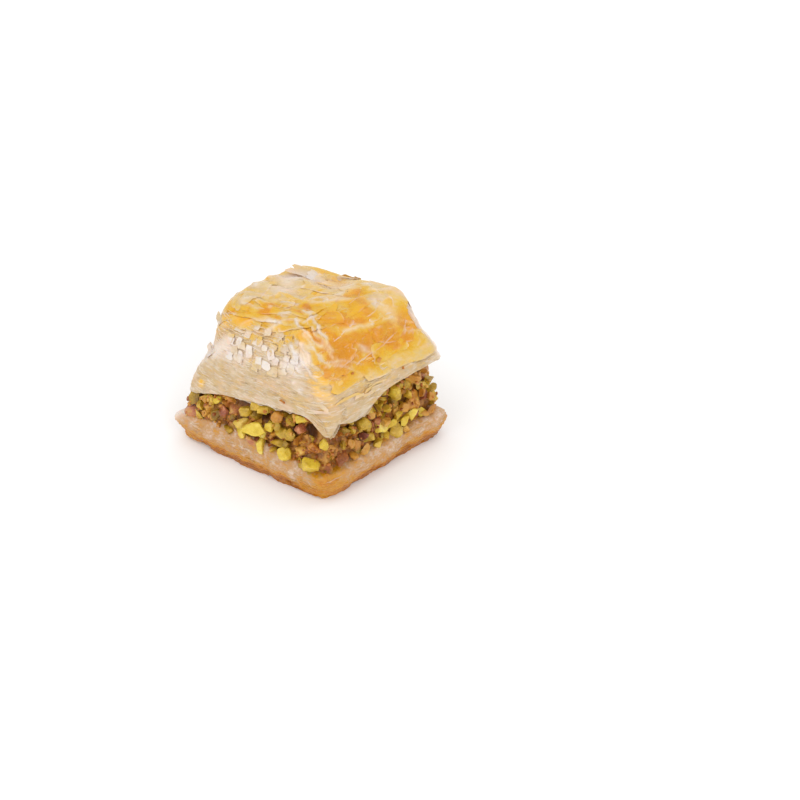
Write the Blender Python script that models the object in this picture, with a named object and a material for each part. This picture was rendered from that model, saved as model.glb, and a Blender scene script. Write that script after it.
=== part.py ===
"""One diamond-cut piece of baklava: a syrupy pastry base, a chopped pistachio filling and a tall flaky top.

Metres, +Z up. The piece rests on Z = 0. Its long front cut runs along X and faces -Y, and its flanks lean
towards +X, so that the near corner, at +X and -Y, is the blunt one.
"""

import functools
import math
import random

import bmesh
import bpy
from mathutils import Matrix, Vector, noise

MM = 0.001

# Driving sizes
FRONT_SIDE = 51.5 * MM
FLANK_SIDE = 46 * MM
NEAR_CORNER_ANGLE = math.radians(102)
HEIGHT = 46 * MM
BASE_HEIGHT = 8.6 * MM
FILLING_MIDDLE = 14.8 * MM
GAP = 0.3 * MM

# The filling thickens towards the near corner, and the crown rises towards +X, in height per distance
FILLING_SLOPE_X = 0.20
FILLING_SLOPE_Y = -0.05
CROWN_SLOPE = 0.10

# Points round each outline
SEGMENTS = 68

# How square the corners of the cut are: a higher power is squarer
CORNER_POWER = 18

# Torn edges: a broad wobble that all sheets share, and finer teeth of each sheet's own
BROAD_SHARE = 0.9
BROAD_DETAIL = 70
FINE_DETAIL = 260
SHEET_STEP_IN_NOISE = 3.7

# Base: sheets soaked flat by the syrup, spreading towards the top, with a rounded top edge
BASE_SHEETS = 5
BASE_FLARE = 3.4 * MM
BASE_ROUND = 2.2 * MM
BASE_ROUND_POWER = 5
BASE_LEDGE = 0.45 * MM
BASE_RAGGED = 0.6 * MM
BULGE_SHARE = 0.55

# Filling: a core with chopped nuts set in its sides. The core's insets run from its underside to its top
CORE_INSETS = (2.9 * MM, 2.15 * MM, 1.85 * MM, 2.3 * MM, 3.35 * MM)
CORE_UNEVEN = 1.0 * MM
CORE_END_UNEVEN = 0.4 * MM
NUT_SPACING = (5.6 * MM, 6.5 * MM)
NUT_ROWS = 3
NUT_LENGTH = (5.2 * MM, 8.6 * MM)
NUT_WIDTH_SHARE = 0.66
NUT_HULL_POINTS = 12
NUT_MERGE = 0.05 * MM
NUT_INSET = (0.9 * MM, 2.0 * MM)
NUT_INSET_AT_TOP = 0.9 * MM
NUT_TILT = 0.6
NUT_STRAY = 0.03
NUT_STRAY_UP = 0.12
NUT_SEED = 11

# Top pastry: for each side of the mound, its distance from the centre at the rim, how much of that it leans
# in by the crown, and how boxy its shoulder is, where 2 is an ellipse and more is squarer
LEFT_SIDE = (25.5 * MM, 0.0, 10)
RIGHT_SIDE = (26.5 * MM, 0.44, 8)
FRONT_SIDE_OF_TOP = (21.5 * MM, 0.28, 3.2)
BACK_SIDE = (23.5 * MM, 0.02, 10)
# The mound's corners, counted from the back right one towards the left, are rounder from this share of its rise up
MOUND_CORNER_POWERS = (7, 5, 3.2, 6)
MOUND_CORNER_RISE = 0.4
TOP_SHEETS = 8
TOP_LEDGE = 0.75 * MM
TOP_RAGGED = 1.1 * MM
RIM_THICKNESS = 1.2 * MM
RIM_TOOTH = 0.5 * MM
RIM_DETAIL = 300
UNDERSIDE_SHARE = 0.92
SAG_CLEARANCE_SHARE = 0.1

# The rim hangs in a tip at the near corner, along the right side, and a little at the left corner:
# for each, the angle round the piece, the half angle it spans and its depth
SAGS = ((-0.73, 0.09, 7.5 * MM), (-0.42, 0.30, 5.5 * MM), (-2.36, 0.22, 2.0 * MM))
TIP_REACH = 0.8 * MM

# Crown: rings by their share of the rise up to its edge, and then by 1 plus the way in to its middle
WALL_SHARE = 0.80
CROWN_EDGE = 0.995
CROWN_RISES = (WALL_SHARE, 0.87, 0.93, 0.97, CROWN_EDGE, 1.2, 1.4, 1.6, 1.8)
CROWN_WRINKLE = 1.2 * MM
WRINKLE_DETAIL_X = 70
WRINKLE_DETAIL_Y = 190

# Torn sheets that lie on the top or peel off it
SHEET_THICKNESS = 0.8 * MM
SHEET_BITE = 0.5 * MM
SHEET_ROWS = 4
SHEET_FEWEST_COLUMNS = 5
SHEET_COLUMN_ANGLE = 0.2
SHEET_TEAR = 0.16
SHEET_BOW = 0.20
# For each: the angles round the piece and the shares of the rise that it spans, from its root, and how far
# its root and its free end stand off, in millimetres
SHEETS = (
    ((0.25, -0.85), (0.42, 0.80), (0.7, 1.0)),
    ((1.15, -1.15), (0.97, 1.60), (0.5, 1.1)),
    ((3.50, 1.80), (0.97, 1.50), (0.4, 0.9)),
    ((2.00, 2.45), (0.80, 0.97), (0.4, 2.6)),
    ((1.60, 1.90), (0.84, 0.97), (0.4, 1.8)),
    ((2.70, 3.30), (0.58, 0.84), (0.6, 1.2)),
    ((-2.75, -2.20), (0.42, 0.54), (0.4, 3.4)),
    ((-2.85, -2.32), (0.69, 0.80), (0.5, 2.4)),
    ((-1.95, -1.45), (0.64, 0.78), (0.4, 1.6)),
    ((-1.05, -1.50), (0.38, 0.52), (0.4, 1.7)),
    ((2.20, 1.50), (0.30, 0.62), (0.5, 1.1)),
    ((0.25, 0.85), (0.14, 0.50), (0.6, 1.6)),
    ((3.20, 2.60), (0.14, 0.42), (0.5, 1.2)),
)

SHARP_ANGLE = math.radians(40)
FRONT_AXIS = Vector((1, 0, 0))
FLANK_AXIS = Vector((-math.cos(NEAR_CORNER_ANGLE), math.sin(NEAR_CORNER_ANGLE), 0))


def clear_scene():
    for obj in list(bpy.data.objects):
        bpy.data.objects.remove(obj)


def make_collection(name):
    collection = bpy.data.collections.new(name)
    bpy.context.scene.collection.children.link(collection)
    return collection


def make_material(name, colour, roughness):
    material = bpy.data.materials.new(name)
    material.use_nodes = True
    shader = material.node_tree.nodes["Principled BSDF"]
    shader.inputs["Base Color"].default_value = (*colour, 1)
    shader.inputs["Roughness"].default_value = roughness
    shader.inputs["Metallic"].default_value = 0
    return material


def blend(ends, share):
    return ends[0] + (ends[1] - ends[0]) * share


def ring_angles():
    return [2 * math.pi * i / SEGMENTS for i in range(SEGMENTS)]


def plan_point(angle, left, right, front, back, power=CORNER_POWER):
    """A point of the outline whose four sides stand at these distances from the centre, at Z = 0."""
    c, s = math.cos(angle), math.sin(angle)
    reach = (abs(c) ** power + abs(s) ** power) ** (-1 / power)
    x = reach * c * (right if c > 0 else left)
    y = reach * s * (back if s > 0 else front)
    return FRONT_AXIS * x + FLANK_AXIS * y


def cut_point(angle, grow):
    """A point of the cut outline, moved out on every side by grow."""
    x, y = FRONT_SIDE / 2 + grow, FLANK_SIDE / 2 + grow
    return plan_point(angle, x, x, y, y)


def outwards(point):
    return Vector((point.x, point.y, 0)).normalized()


def torn(point, layer, size):
    """The point moved out or in to a torn edge's line."""
    broad = noise.noise(Vector((point.x, point.y, 0)) * BROAD_DETAIL)
    fine = noise.noise(Vector((point.x * FINE_DETAIL, point.y * FINE_DETAIL, layer * SHEET_STEP_IN_NOISE)))
    return point + outwards(point) * size * (BROAD_SHARE * broad + fine)


def interface_height(point):
    """Height of the plane between the filling and the top pastry."""
    return BASE_HEIGHT + FILLING_MIDDLE + FILLING_SLOPE_X * point.x + FILLING_SLOPE_Y * point.y


def sag(angle):
    """How far the rim hangs below the filling's top."""
    depth = 0.0
    for centre, spread, deepest in SAGS:
        away = math.remainder(angle - centre, 2 * math.pi)
        depth = max(depth, deepest * math.exp(-((away / spread) ** 2)))
    return depth


def make_object(name, bm, collection):
    mesh = bpy.data.meshes.new(name)
    bm.to_mesh(mesh)
    bm.free()
    obj = bpy.data.objects.new(name, mesh)
    collection.objects.link(obj)
    return obj


def loft(name, rings, material, collection):
    """A closed solid through rings of equal length, listed from the underside up to the top."""
    bm = bmesh.new()
    loops = [[bm.verts.new(point) for point in ring] for ring in rings]
    for low, high in zip(loops, loops[1:]):
        for i in range(len(low)):
            j = (i + 1) % len(low)
            bm.faces.new((low[i], low[j], high[j], high[i]))
    bm.faces.new(list(reversed(loops[0])))
    bm.faces.new(loops[-1])
    obj = make_object(name, bm, collection)
    obj.data.materials.append(material)
    return obj


def keep_largest_body(mesh):
    """Drops loose scraps. Faces belong together where an edge joins just the two of them."""
    bm = bmesh.new()
    bm.from_mesh(mesh)
    waiting, bodies = set(bm.faces), []
    while waiting:
        body, front = [], [waiting.pop()]
        while front:
            face = front.pop()
            body.append(face)
            joints = [edge for edge in face.edges if len(edge.link_faces) == 2]
            found = {other for edge in joints for other in edge.link_faces} & waiting
            waiting -= found
            front.extend(found)
        bodies.append(body)
    bodies.sort(key=len)
    bmesh.ops.delete(bm, geom=[face for body in bodies[:-1] for face in body], context="FACES")
    bm.to_mesh(mesh)
    bm.free()


def union(target, others):
    """Joins every object of a collection to target and removes them."""
    modifier = target.modifiers.new("join", "BOOLEAN")
    modifier.operation = "UNION"
    modifier.operand_type = "COLLECTION"
    modifier.collection = others
    modifier.solver = "EXACT"
    bpy.context.view_layer.update()
    graph = bpy.context.evaluated_depsgraph_get()
    joined = bpy.data.meshes.new_from_object(target.evaluated_get(graph))
    keep_largest_body(joined)
    target.modifiers.clear()
    target.data = joined
    for obj in list(others.objects):
        bpy.data.objects.remove(obj)
    bpy.data.collections.remove(others)
    return target


def base_ring(layer, out, z):
    """One edge of a soaked sheet, pushed out or back by out."""
    share = z / BASE_HEIGHT
    grow = BASE_FLARE * share - BASE_ROUND * share**BASE_ROUND_POWER + out
    ring = [torn(cut_point(angle, grow), layer, BASE_RAGGED) for angle in ring_angles()]
    return [Vector((point.x, point.y, z)) for point in ring]


def base_pastry(collection):
    step = BASE_HEIGHT / BASE_SHEETS
    rings = [base_ring(0, 0, 0)]
    for layer in range(BASE_SHEETS):
        rings.append(base_ring(layer, BASE_LEDGE, (layer + BULGE_SHARE) * step))
        rings.append(base_ring(layer + 1, -BASE_LEDGE, (layer + 1) * step))
    return loft("base_pastry", rings, make_material("syrupy_pastry", (0.62, 0.36, 0.15), 0.35), collection)


def filling_core_rings():
    """The packed nuts behind the pieces that show: a wedge with uneven sides."""
    bottom, rings = BASE_HEIGHT + GAP, []
    for step, inset in enumerate(CORE_INSETS):
        share = step / (len(CORE_INSETS) - 1)
        uneven = CORE_UNEVEN if 0 < share < 1 else CORE_END_UNEVEN
        ring = []
        for angle in ring_angles():
            point = torn(cut_point(angle, -inset), TOP_SHEETS + 1 + step, uneven)
            point.z = blend((bottom, interface_height(point) - GAP), share)
            ring.append(point)
        rings.append(ring)
    return rings


def filling_ceiling(point):
    """The highest that a nut may reach there: under the pastry, and under its hanging rim near the outline."""
    y = point.y / FLANK_AXIS.y
    x = point.x - FLANK_AXIS.x * y
    across, along = 2 * x / FRONT_SIDE, 2 * y / FLANK_SIDE
    top = interface_height(point) - GAP
    if max(abs(across), abs(along)) > UNDERSIDE_SHARE - SAG_CLEARANCE_SHARE:
        top -= sag(math.atan2(along, across))
    return top


def chopped_nut(centre, length, rng):
    """The convex hull of a few points on a turned ellipsoid, kept between the base and the top pastry."""
    turn = Matrix.Rotation(rng.uniform(0, math.pi), 3, "Z")
    turn @= Matrix.Rotation(rng.uniform(-NUT_TILT, NUT_TILT), 3, "X")
    width = length * NUT_WIDTH_SHARE
    scale = Matrix.Diagonal(Vector((length, width, width)) / 2)
    bm = bmesh.new()
    for _ in range(NUT_HULL_POINTS):
        direction = Vector([rng.gauss(0, 1) for _ in range(3)]).normalized()
        point = centre + turn @ scale @ direction
        point.z = min(max(point.z, BASE_HEIGHT + GAP), filling_ceiling(point))
        bm.verts.new(point)
    hull = bmesh.ops.convex_hull(bm, input=list(bm.verts))
    inside = [item for item in hull["geom_interior"] if isinstance(item, bmesh.types.BMVert)]
    bmesh.ops.delete(bm, geom=inside, context="VERTS")
    bmesh.ops.remove_doubles(bm, verts=list(bm.verts), dist=NUT_MERGE)
    bmesh.ops.recalc_face_normals(bm, faces=list(bm.faces))
    return bm


def outline_walk(spacing):
    """Angles at even distances round the cut outline."""
    fine = [2 * math.pi * i / 2000 for i in range(2001)]
    points = [cut_point(angle, 0) for angle in fine]
    distances = [0.0]
    for a, b in zip(points, points[1:]):
        distances.append(distances[-1] + (b - a).length)
    count = round(distances[-1] / spacing)
    angles, place = [], 0
    for i in range(count):
        while distances[place] < distances[-1] * i / count:
            place += 1
        angles.append(fine[place])
    return angles


def pistachio_filling(collection):
    rng = random.Random(NUT_SEED)
    material = make_material("chopped_pistachio", (0.42, 0.33, 0.08), 0.5)
    core = loft("pistachio_filling", filling_core_rings(), material, collection)
    nuts = make_collection("nuts")
    for row in range(NUT_ROWS):
        share = (row + 0.5) / NUT_ROWS
        for angle in outline_walk(rng.uniform(*NUT_SPACING)):
            length = rng.uniform(*NUT_LENGTH)
            inset = rng.uniform(*NUT_INSET) + NUT_INSET_AT_TOP * share
            centre = cut_point(angle + rng.uniform(-NUT_STRAY, NUT_STRAY), -inset)
            height = share + rng.uniform(-NUT_STRAY_UP, NUT_STRAY_UP)
            centre.z = blend((BASE_HEIGHT + GAP, filling_ceiling(centre)), height)
            make_object("nut", chopped_nut(centre, length, rng), nuts)
    return union(core, nuts)


def mound_point(angle, rise, out=0.0):
    """A point of the mound at a share of its rise, stepped back on each side by that side's curve."""

    def reach(side):
        half, lean, power = side
        return half * (1 - lean * rise) * max(1 - rise**power, 0) ** (1 / power) + out

    sides = [reach(side) for side in (LEFT_SIDE, RIGHT_SIDE, FRONT_SIDE_OF_TOP, BACK_SIDE)]
    quarter = int(angle % (2 * math.pi) // (math.pi / 2)) % 4
    rounded = min(rise / MOUND_CORNER_RISE, 1)
    point = plan_point(angle, *sides, blend((CORNER_POWER, MOUND_CORNER_POWERS[quarter]), rounded))
    point.z = blend((interface_height(point), HEIGHT + CROWN_SLOPE * point.x), rise)
    return point


@functools.cache
def crown_middle():
    edge = [mound_point(angle, CROWN_EDGE) for angle in ring_angles()]
    return sum(edge, Vector()) / len(edge)


def surface_point(angle, rise):
    """A point of the mound without its ledges: past a rise of 1 it runs in over the crown, to its middle at 2."""
    point = mound_point(angle, min(rise, CROWN_EDGE))
    share = max(rise - WALL_SHARE, 0) / (1 - WALL_SHARE)
    if rise > 1:
        share = 2 - rise
        point = crown_middle().lerp(point, share)
    place = Vector((point.x * WRINKLE_DETAIL_X, point.y * WRINKLE_DETAIL_Y, 0))
    point.z += CROWN_WRINKLE * share * noise.noise(place)
    return point


def rim_rings():
    """The flat underside's edge, then the rim itself, which sags in places."""
    inner, lower = [], []
    for angle in ring_angles():
        edge = mound_point(angle, 0)
        point = edge * UNDERSIDE_SHARE
        point.z = interface_height(point)
        inner.append(point)
        point = torn(edge, TOP_SHEETS, TOP_RAGGED / 2) + outwards(edge) * TIP_REACH * sag(angle) / SAGS[0][2]
        tooth = RIM_TOOTH * (1 + noise.noise(point * RIM_DETAIL))
        point.z = interface_height(point) + tooth - sag(angle)
        lower.append(point)
    return [inner, lower]


def top_pastry_body(material, collection):
    rings = rim_rings()
    first = RIM_THICKNESS / (HEIGHT - BASE_HEIGHT - FILLING_MIDDLE)
    step = (WALL_SHARE - first) / TOP_SHEETS
    for sheet in range(TOP_SHEETS):
        for rise, out in ((sheet, TOP_LEDGE), (sheet + BULGE_SHARE, -TOP_LEDGE)):
            edge = [mound_point(angle, first + rise * step, out) for angle in ring_angles()]
            rings.append([torn(point, sheet, TOP_RAGGED) for point in edge])
    rings.extend([surface_point(angle, rise) for angle in ring_angles()] for rise in CROWN_RISES)
    return loft("top_pastry", rings, material, collection)


def surface_normal(angle, rise):
    aside = surface_point(angle + 0.02, rise) - surface_point(angle - 0.02, rise)
    upwards = surface_point(angle, rise + 0.004) - surface_point(angle, rise - 0.004)
    return aside.cross(upwards).normalized()


def torn_sheet(angles, rises, lifts, pieces):
    """A sheet that follows the mound, with its root sunk in it and its far end free."""
    columns = max(SHEET_FEWEST_COLUMNS, round(abs(angles[1] - angles[0]) / SHEET_COLUMN_ANGLE))
    bm = bmesh.new()
    outer, inner = {}, {}
    for i in range(columns):
        for j in range(SHEET_ROWS):
            u, v = i / (columns - 1), j / (SHEET_ROWS - 1)
            tear = SHEET_TEAR * noise.noise(Vector((9 * v, 5 * angles[0], 31 * rises[0])))
            bow = SHEET_BOW * noise.noise(Vector((7 * u, 5 * angles[1], 17 * rises[1])))
            angle = blend(angles, u + tear * (2 * u - 1))
            rise = blend(rises, v + bow * (2 * v - 1))
            normal, lift = surface_normal(angle, rise), blend(lifts, u**2) * MM
            under = lift - SHEET_THICKNESS - SHEET_BITE * (1 - u)
            outer[i, j] = bm.verts.new(surface_point(angle, rise) + normal * lift)
            inner[i, j] = bm.verts.new(surface_point(angle, rise) + normal * under)
    for i in range(columns - 1):
        for j in range(SHEET_ROWS - 1):
            corners = (i, j), (i + 1, j), (i + 1, j + 1), (i, j + 1)
            bm.faces.new([outer[corner] for corner in corners])
            bm.faces.new([inner[corner] for corner in reversed(corners)])
    edge = [(i, 0) for i in range(columns - 1)] + [(columns - 1, j) for j in range(SHEET_ROWS - 1)]
    edge += [(i, SHEET_ROWS - 1) for i in range(columns - 1, 0, -1)] + [(0, j) for j in range(SHEET_ROWS - 1, 0, -1)]
    for a, b in zip(edge, edge[1:] + edge[:1]):
        bm.faces.new((outer[b], outer[a], inner[a], inner[b]))
    bmesh.ops.recalc_face_normals(bm, faces=list(bm.faces))
    return make_object("torn_sheet", bm, pieces)


def top_pastry(collection):
    body = top_pastry_body(make_material("golden_pastry", (0.83, 0.58, 0.25), 0.4), collection)
    sheets = make_collection("torn_sheets")
    for angles, rises, lifts in SHEETS:
        torn_sheet(angles, rises, lifts, sheets)
    return union(body, sheets)


def rest_on_origin(nodes):
    """Moves the nodes so that the middle of their common underside is the origin."""
    points = [vert.co for node in nodes for vert in node.data.vertices]
    low = Vector([min(point[axis] for point in points) for axis in range(3)])
    high = Vector([max(point[axis] for point in points) for axis in range(3)])
    middle = (low + high) / 2
    for node in nodes:
        node.data.transform(Matrix.Translation(Vector((-middle.x, -middle.y, -low.z))))


def main():
    clear_scene()
    collection = make_collection("baklava")
    nodes = base_pastry(collection), pistachio_filling(collection), top_pastry(collection)
    rest_on_origin(nodes)
    for node in nodes:
        node.data.set_sharp_from_angle(angle=SHARP_ANGLE)


main()
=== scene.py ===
import itertools
import math

import bmesh
import bpy
import numpy as np
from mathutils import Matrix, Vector
from mathutils.bvhtree import BVHTree


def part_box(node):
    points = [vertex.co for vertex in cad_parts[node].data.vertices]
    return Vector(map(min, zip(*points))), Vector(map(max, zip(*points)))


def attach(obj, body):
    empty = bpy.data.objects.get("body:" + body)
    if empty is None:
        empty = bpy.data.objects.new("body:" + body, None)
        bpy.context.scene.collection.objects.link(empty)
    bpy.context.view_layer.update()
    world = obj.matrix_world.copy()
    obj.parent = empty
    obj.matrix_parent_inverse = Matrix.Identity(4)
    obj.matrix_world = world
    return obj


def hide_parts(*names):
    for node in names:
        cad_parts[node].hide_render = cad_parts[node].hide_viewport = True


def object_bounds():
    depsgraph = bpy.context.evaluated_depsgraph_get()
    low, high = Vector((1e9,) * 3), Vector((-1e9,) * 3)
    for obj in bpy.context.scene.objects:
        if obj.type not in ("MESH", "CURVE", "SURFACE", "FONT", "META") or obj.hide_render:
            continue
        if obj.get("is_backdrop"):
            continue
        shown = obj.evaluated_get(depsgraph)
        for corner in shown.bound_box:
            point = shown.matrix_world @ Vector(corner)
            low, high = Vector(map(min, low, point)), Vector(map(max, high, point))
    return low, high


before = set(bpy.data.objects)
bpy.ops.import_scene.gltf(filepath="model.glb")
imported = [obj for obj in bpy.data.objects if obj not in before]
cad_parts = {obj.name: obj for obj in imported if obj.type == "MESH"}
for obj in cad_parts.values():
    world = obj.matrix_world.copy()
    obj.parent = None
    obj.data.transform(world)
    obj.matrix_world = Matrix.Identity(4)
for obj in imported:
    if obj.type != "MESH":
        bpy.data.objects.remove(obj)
CAD_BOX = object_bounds()

# One diamond-cut piece of baklava. Lengths are metres, and places of the noise are millimetres
MM = 0.001

# Sizes of the solids, which the pieces here follow
FRONT_SIDE = 51.5 * MM
FLANK_SIDE = 46 * MM
NEAR_CORNER_ANGLE = math.radians(102)
HEIGHT = 46 * MM
BASE_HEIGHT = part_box("base_pastry")[1].z
FILLING_MIDDLE = 14.8 * MM
FILLING_SLOPE_X = 0.20
FILLING_SLOPE_Y = -0.05
CROWN_SLOPE = 0.10
CORNER_POWER = 18
FRONT_AXIS = np.array((1, 0, 0))
FLANK_AXIS = np.array((-math.cos(NEAR_CORNER_ANGLE), math.sin(NEAR_CORNER_ANGLE), 0))

# Sides of the top's mound: distance at the rim, lean inwards by the crown, and how boxy the shoulder is
LEFT_SIDE = (25.5 * MM, 0.0, 10)
RIGHT_SIDE = (26.5 * MM, 0.44, 8)
FRONT_SIDE_OF_TOP = (21.5 * MM, 0.28, 3.2)
BACK_SIDE = (23.5 * MM, 0.02, 10)
MOUND_CORNER_POWERS = np.array((7, 5, 3.2, 6))
MOUND_CORNER_RISE = 0.4
CROWN_EDGE = 0.995
CROWN_MIDDLE = np.array((-2.0, 4.4, 45.8)) * MM
# Direction in plan in which the crown's sheets are creased and streaked
CREASES = 0.45

# Where the rim hangs: angle round the piece, half angle spanned and depth
HANG = 6.6 * MM
SAGS = ((-0.73, 0.11, HANG), (-0.42, 0.30, 5.5 * MM), (-2.36, 0.22, 2.0 * MM))
SAG_RISE = 0.28

# Camera, at the photograph's viewing angle
CAMERA_AZIMUTH = math.radians(35)
CAMERA_ELEVATION = math.radians(38)
CAMERA_DISTANCE = 0.5
CAMERA_TARGET = np.array((0, 0, 0.022))
CAMERA_ASIDE = 25.9 * MM
CAMERA_DOWN = 7.2 * MM
CAMERA_LENS = 77.6

# Directions of the four sides, as angles round the piece
SIDES = RIGHT, BACK, LEFT, FRONT = 0.0, math.pi / 2, math.pi, -math.pi / 2
# Steps round the cut outline when its length is measured
OUTLINE_STEPS = 8001

# Values that the materials read at each point
VALUES = ("toast", "pale", "wet")

NOISE_CELLS = 256
noise_rng = np.random.default_rng(7)
SHUFFLED = noise_rng.permutation(NOISE_CELLS)
GRADIENTS = noise_rng.normal(size=(NOISE_CELLS, 3))
GRADIENTS /= np.linalg.norm(GRADIENTS, axis=1)[:, None]


# Numbers and noise

def noise(points):
    """Smooth noise of about -1 to 1, with lumps about one unit across."""
    cell = np.floor(points).astype(int)
    part = points - cell
    fade = part**3 * (part * (6 * part - 15) + 10)
    total = np.zeros(part.shape[:-1])
    for corner in itertools.product((False, True), repeat=3):
        key = (cell + corner) % NOISE_CELLS
        picked = SHUFFLED[(SHUFFLED[key[..., 0]] + key[..., 1]) % NOISE_CELLS]
        picked = SHUFFLED[(picked + key[..., 2]) % NOISE_CELLS]
        weight = np.prod(np.where(corner, fade, 1 - fade), axis=-1)
        total += weight * np.sum(GRADIENTS[picked] * (part - corner), axis=-1)
    return 1.7 * total


def rough(points, octaves=3):
    """Noise with finer and finer lumps on it."""
    return sum(noise(points * 2**i + 17 * i) / 2**i for i in range(octaves))


def step(low, high, value):
    """Rises smoothly from 0 at low to 1 at high."""
    share = np.clip((value - low) / (high - low), 0, 1)
    return share * share * (3 - 2 * share)


def mix(a, b, share):
    return a + (b - a) * share


def unit(vectors):
    return vectors / np.maximum(np.linalg.norm(vectors, axis=-1, keepdims=True), 1e-12)


def bell(value, middle, width):
    """1 at the middle, and less and less to either side."""
    return np.exp(-(((value - middle) / width) ** 2))


def shifted(points, seed):
    """Places for noise, in millimetres, at a spot of the noise of this seed's own."""
    return points / MM + seed * np.array((7.31, 3.77, 11.9))


def noise_at(points, seed, scale):
    """Noise of this seed at these points, whose lumps are about 1 / scale millimetres across."""
    return noise(shifted(points, seed) * scale)


def drawn(rng, *ranges):
    """A chance value from each of the ranges, in turn."""
    return [rng.uniform(*limits) for limits in ranges]


# Meshes

class Piece:
    """Closed shells gathered in one mesh, with the values that its material reads at each point."""

    def __init__(self):
        self.points, self.faces, self.count = [], [], 0
        self.values = {name: [] for name in VALUES}

    def add(self, points, faces, **values):
        self.points.append(points.reshape(-1, 3))
        self.faces.extend([tuple(corner + self.count for corner in face) for face in faces])
        for name in VALUES:
            value = np.broadcast_to(values.get(name, 0.0), points.shape[:-1])
            self.values[name].append(value.reshape(-1))
        self.count += len(self.points[-1])

    def build(self, name, material, sharp_angle=55, slot="golden_pastry", node="top_pastry"):
        mesh = bpy.data.meshes.new(name)
        mesh.from_pydata(np.concatenate(self.points).tolist(), [], self.faces)
        turned = bmesh.new()
        turned.from_mesh(mesh)
        bmesh.ops.recalc_face_normals(turned, faces=turned.faces[:])
        turned.to_mesh(mesh)
        turned.free()
        for value in VALUES:
            attribute = mesh.attributes.new(value, "FLOAT", "POINT")
            attribute.data.foreach_set("value", np.concatenate(self.values[value]).astype(np.float32))
        mesh.shade_smooth()
        mesh.set_sharp_from_angle(angle=math.radians(sharp_angle))
        mesh.materials.append(bpy.data.materials[material])
        obj = bpy.data.objects.new(name, mesh)
        bpy.context.scene.collection.objects.link(obj)
        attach(obj, "root")
        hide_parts(node)


def grid_faces(index):
    """The quads of a grid of point numbers."""
    corners = index[:-1, :-1], index[:-1, 1:], index[1:, 1:], index[1:, :-1]
    return np.stack(corners, axis=-1).reshape(-1, 4).tolist()


def wrapped(index):
    """The grid of point numbers with its first column again at its end."""
    return np.concatenate([index, index[:, :1]], axis=1)


def plate(points, normals, thickness):
    """A thin closed shell round a grid of points: its points and faces."""
    half = normals * thickness / 2
    both = np.stack([points + half, points - half])
    index = np.arange(both.size // 3).reshape(both.shape[:3])
    rims = [np.concatenate([side[0], side[1:, -1], side[-1, -2::-1], side[-2:0:-1, 0]]) for side in index]
    rim = wrapped(np.stack(rims))
    return both, grid_faces(index[0]) + grid_faces(index[1]) + grid_faces(rim)


def hoop(points):
    """A closed band that runs round the piece, from its section's points by its places round the piece."""
    index = np.arange(points.size // 3).reshape(points.shape[:2])
    index = wrapped(np.concatenate([index, index[:1]], axis=0))
    return points, grid_faces(index)


def solid(points):
    """A closed solid through rings, listed from the underside up."""
    index = np.arange(points.size // 3).reshape(points.shape[:2])
    return points, grid_faces(wrapped(index)) + [index[0].tolist(), index[-1].tolist()]


# Forms that all pieces follow

def plan(angle, left, right, front, back, power):
    """The outline whose four sides stand at these distances from the centre, at Z = 0."""
    c, s = np.cos(angle), np.sin(angle)
    reach = (np.abs(c) ** power + np.abs(s) ** power) ** (-1 / power)
    x = reach * c * np.where(c > 0, right, left)
    y = reach * s * np.where(s > 0, back, front)
    return x[..., None] * FRONT_AXIS + y[..., None] * FLANK_AXIS


def cut(angle, grow=0.0, height=0.0):
    """The cut outline, moved out on every side by grow, at a height."""
    x, y = FRONT_SIDE / 2 + grow, FLANK_SIDE / 2 + grow
    points = plan(angle, x, x, y, y, CORNER_POWER)
    points[..., 2] = height
    return points


def outwards(points):
    return unit(points * (1, 1, 0))


def round_angle(points):
    """Angle round the piece of each point."""
    y = points[..., 1] / FLANK_AXIS[1]
    x = points[..., 0] - FLANK_AXIS[0] * y
    return np.arctan2(2 * y / FLANK_SIDE, 2 * x / FRONT_SIDE)


def interface_height(points):
    """Height of the plane between the filling and the top."""
    slope = FILLING_SLOPE_X * points[..., 0] + FILLING_SLOPE_Y * points[..., 1]
    return BASE_HEIGHT + FILLING_MIDDLE + slope


def crown_height(points):
    return HEIGHT + CROWN_SLOPE * points[..., 0]


def sag(angle):
    """How far the rim hangs below the filling's top."""
    away = [np.remainder(angle - centre + math.pi, 2 * math.pi) - math.pi for centre, _, _ in SAGS]
    return np.max([deepest * bell(a, 0, spread) for a, (_, spread, deepest) in zip(away, SAGS)], axis=0)


def hanging(angle, rise):
    """How far the mound's wall is pulled down at a share of its rise, from the whole sag at the rim."""
    return sag(angle) * np.clip(1 - rise / SAG_RISE, 0, 1) ** 1.5


def mound(angle, rise, out=0.0):
    """The mound's wall at a share of its rise, from 0 to 1, and moved out."""
    angle, rise = np.broadcast_arrays(angle, rise)
    sides = [
        half * (1 - lean * rise) * np.maximum(1 - rise**power, 0) ** (1 / power) + out
        for half, lean, power in (LEFT_SIDE, RIGHT_SIDE, FRONT_SIDE_OF_TOP, BACK_SIDE)
    ]
    quarter = (angle % (2 * math.pi) // (math.pi / 2)).astype(int) % 4
    rounded = np.minimum(rise / MOUND_CORNER_RISE, 1)
    points = plan(angle, *sides, mix(CORNER_POWER, MOUND_CORNER_POWERS[quarter], rounded))
    points[..., 2] = mix(interface_height(points), crown_height(points), rise)
    return points


def surface(angle, rise, out=0.0):
    """The mound's wall and, from a rise of 1 to its middle at 2, its gently uneven crown."""
    points = mound(angle, np.minimum(rise, CROWN_EDGE), out)
    points = mix(CROWN_MIDDLE, points, np.clip(2 - rise, 0, 1)[..., None])
    lumps = rough(points / MM * (0.07, 0.19, 0) + 5, 2)
    points[..., 2] += 0.8 * MM * lumps * step(0.75, 0.95, rise)
    return points


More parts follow.
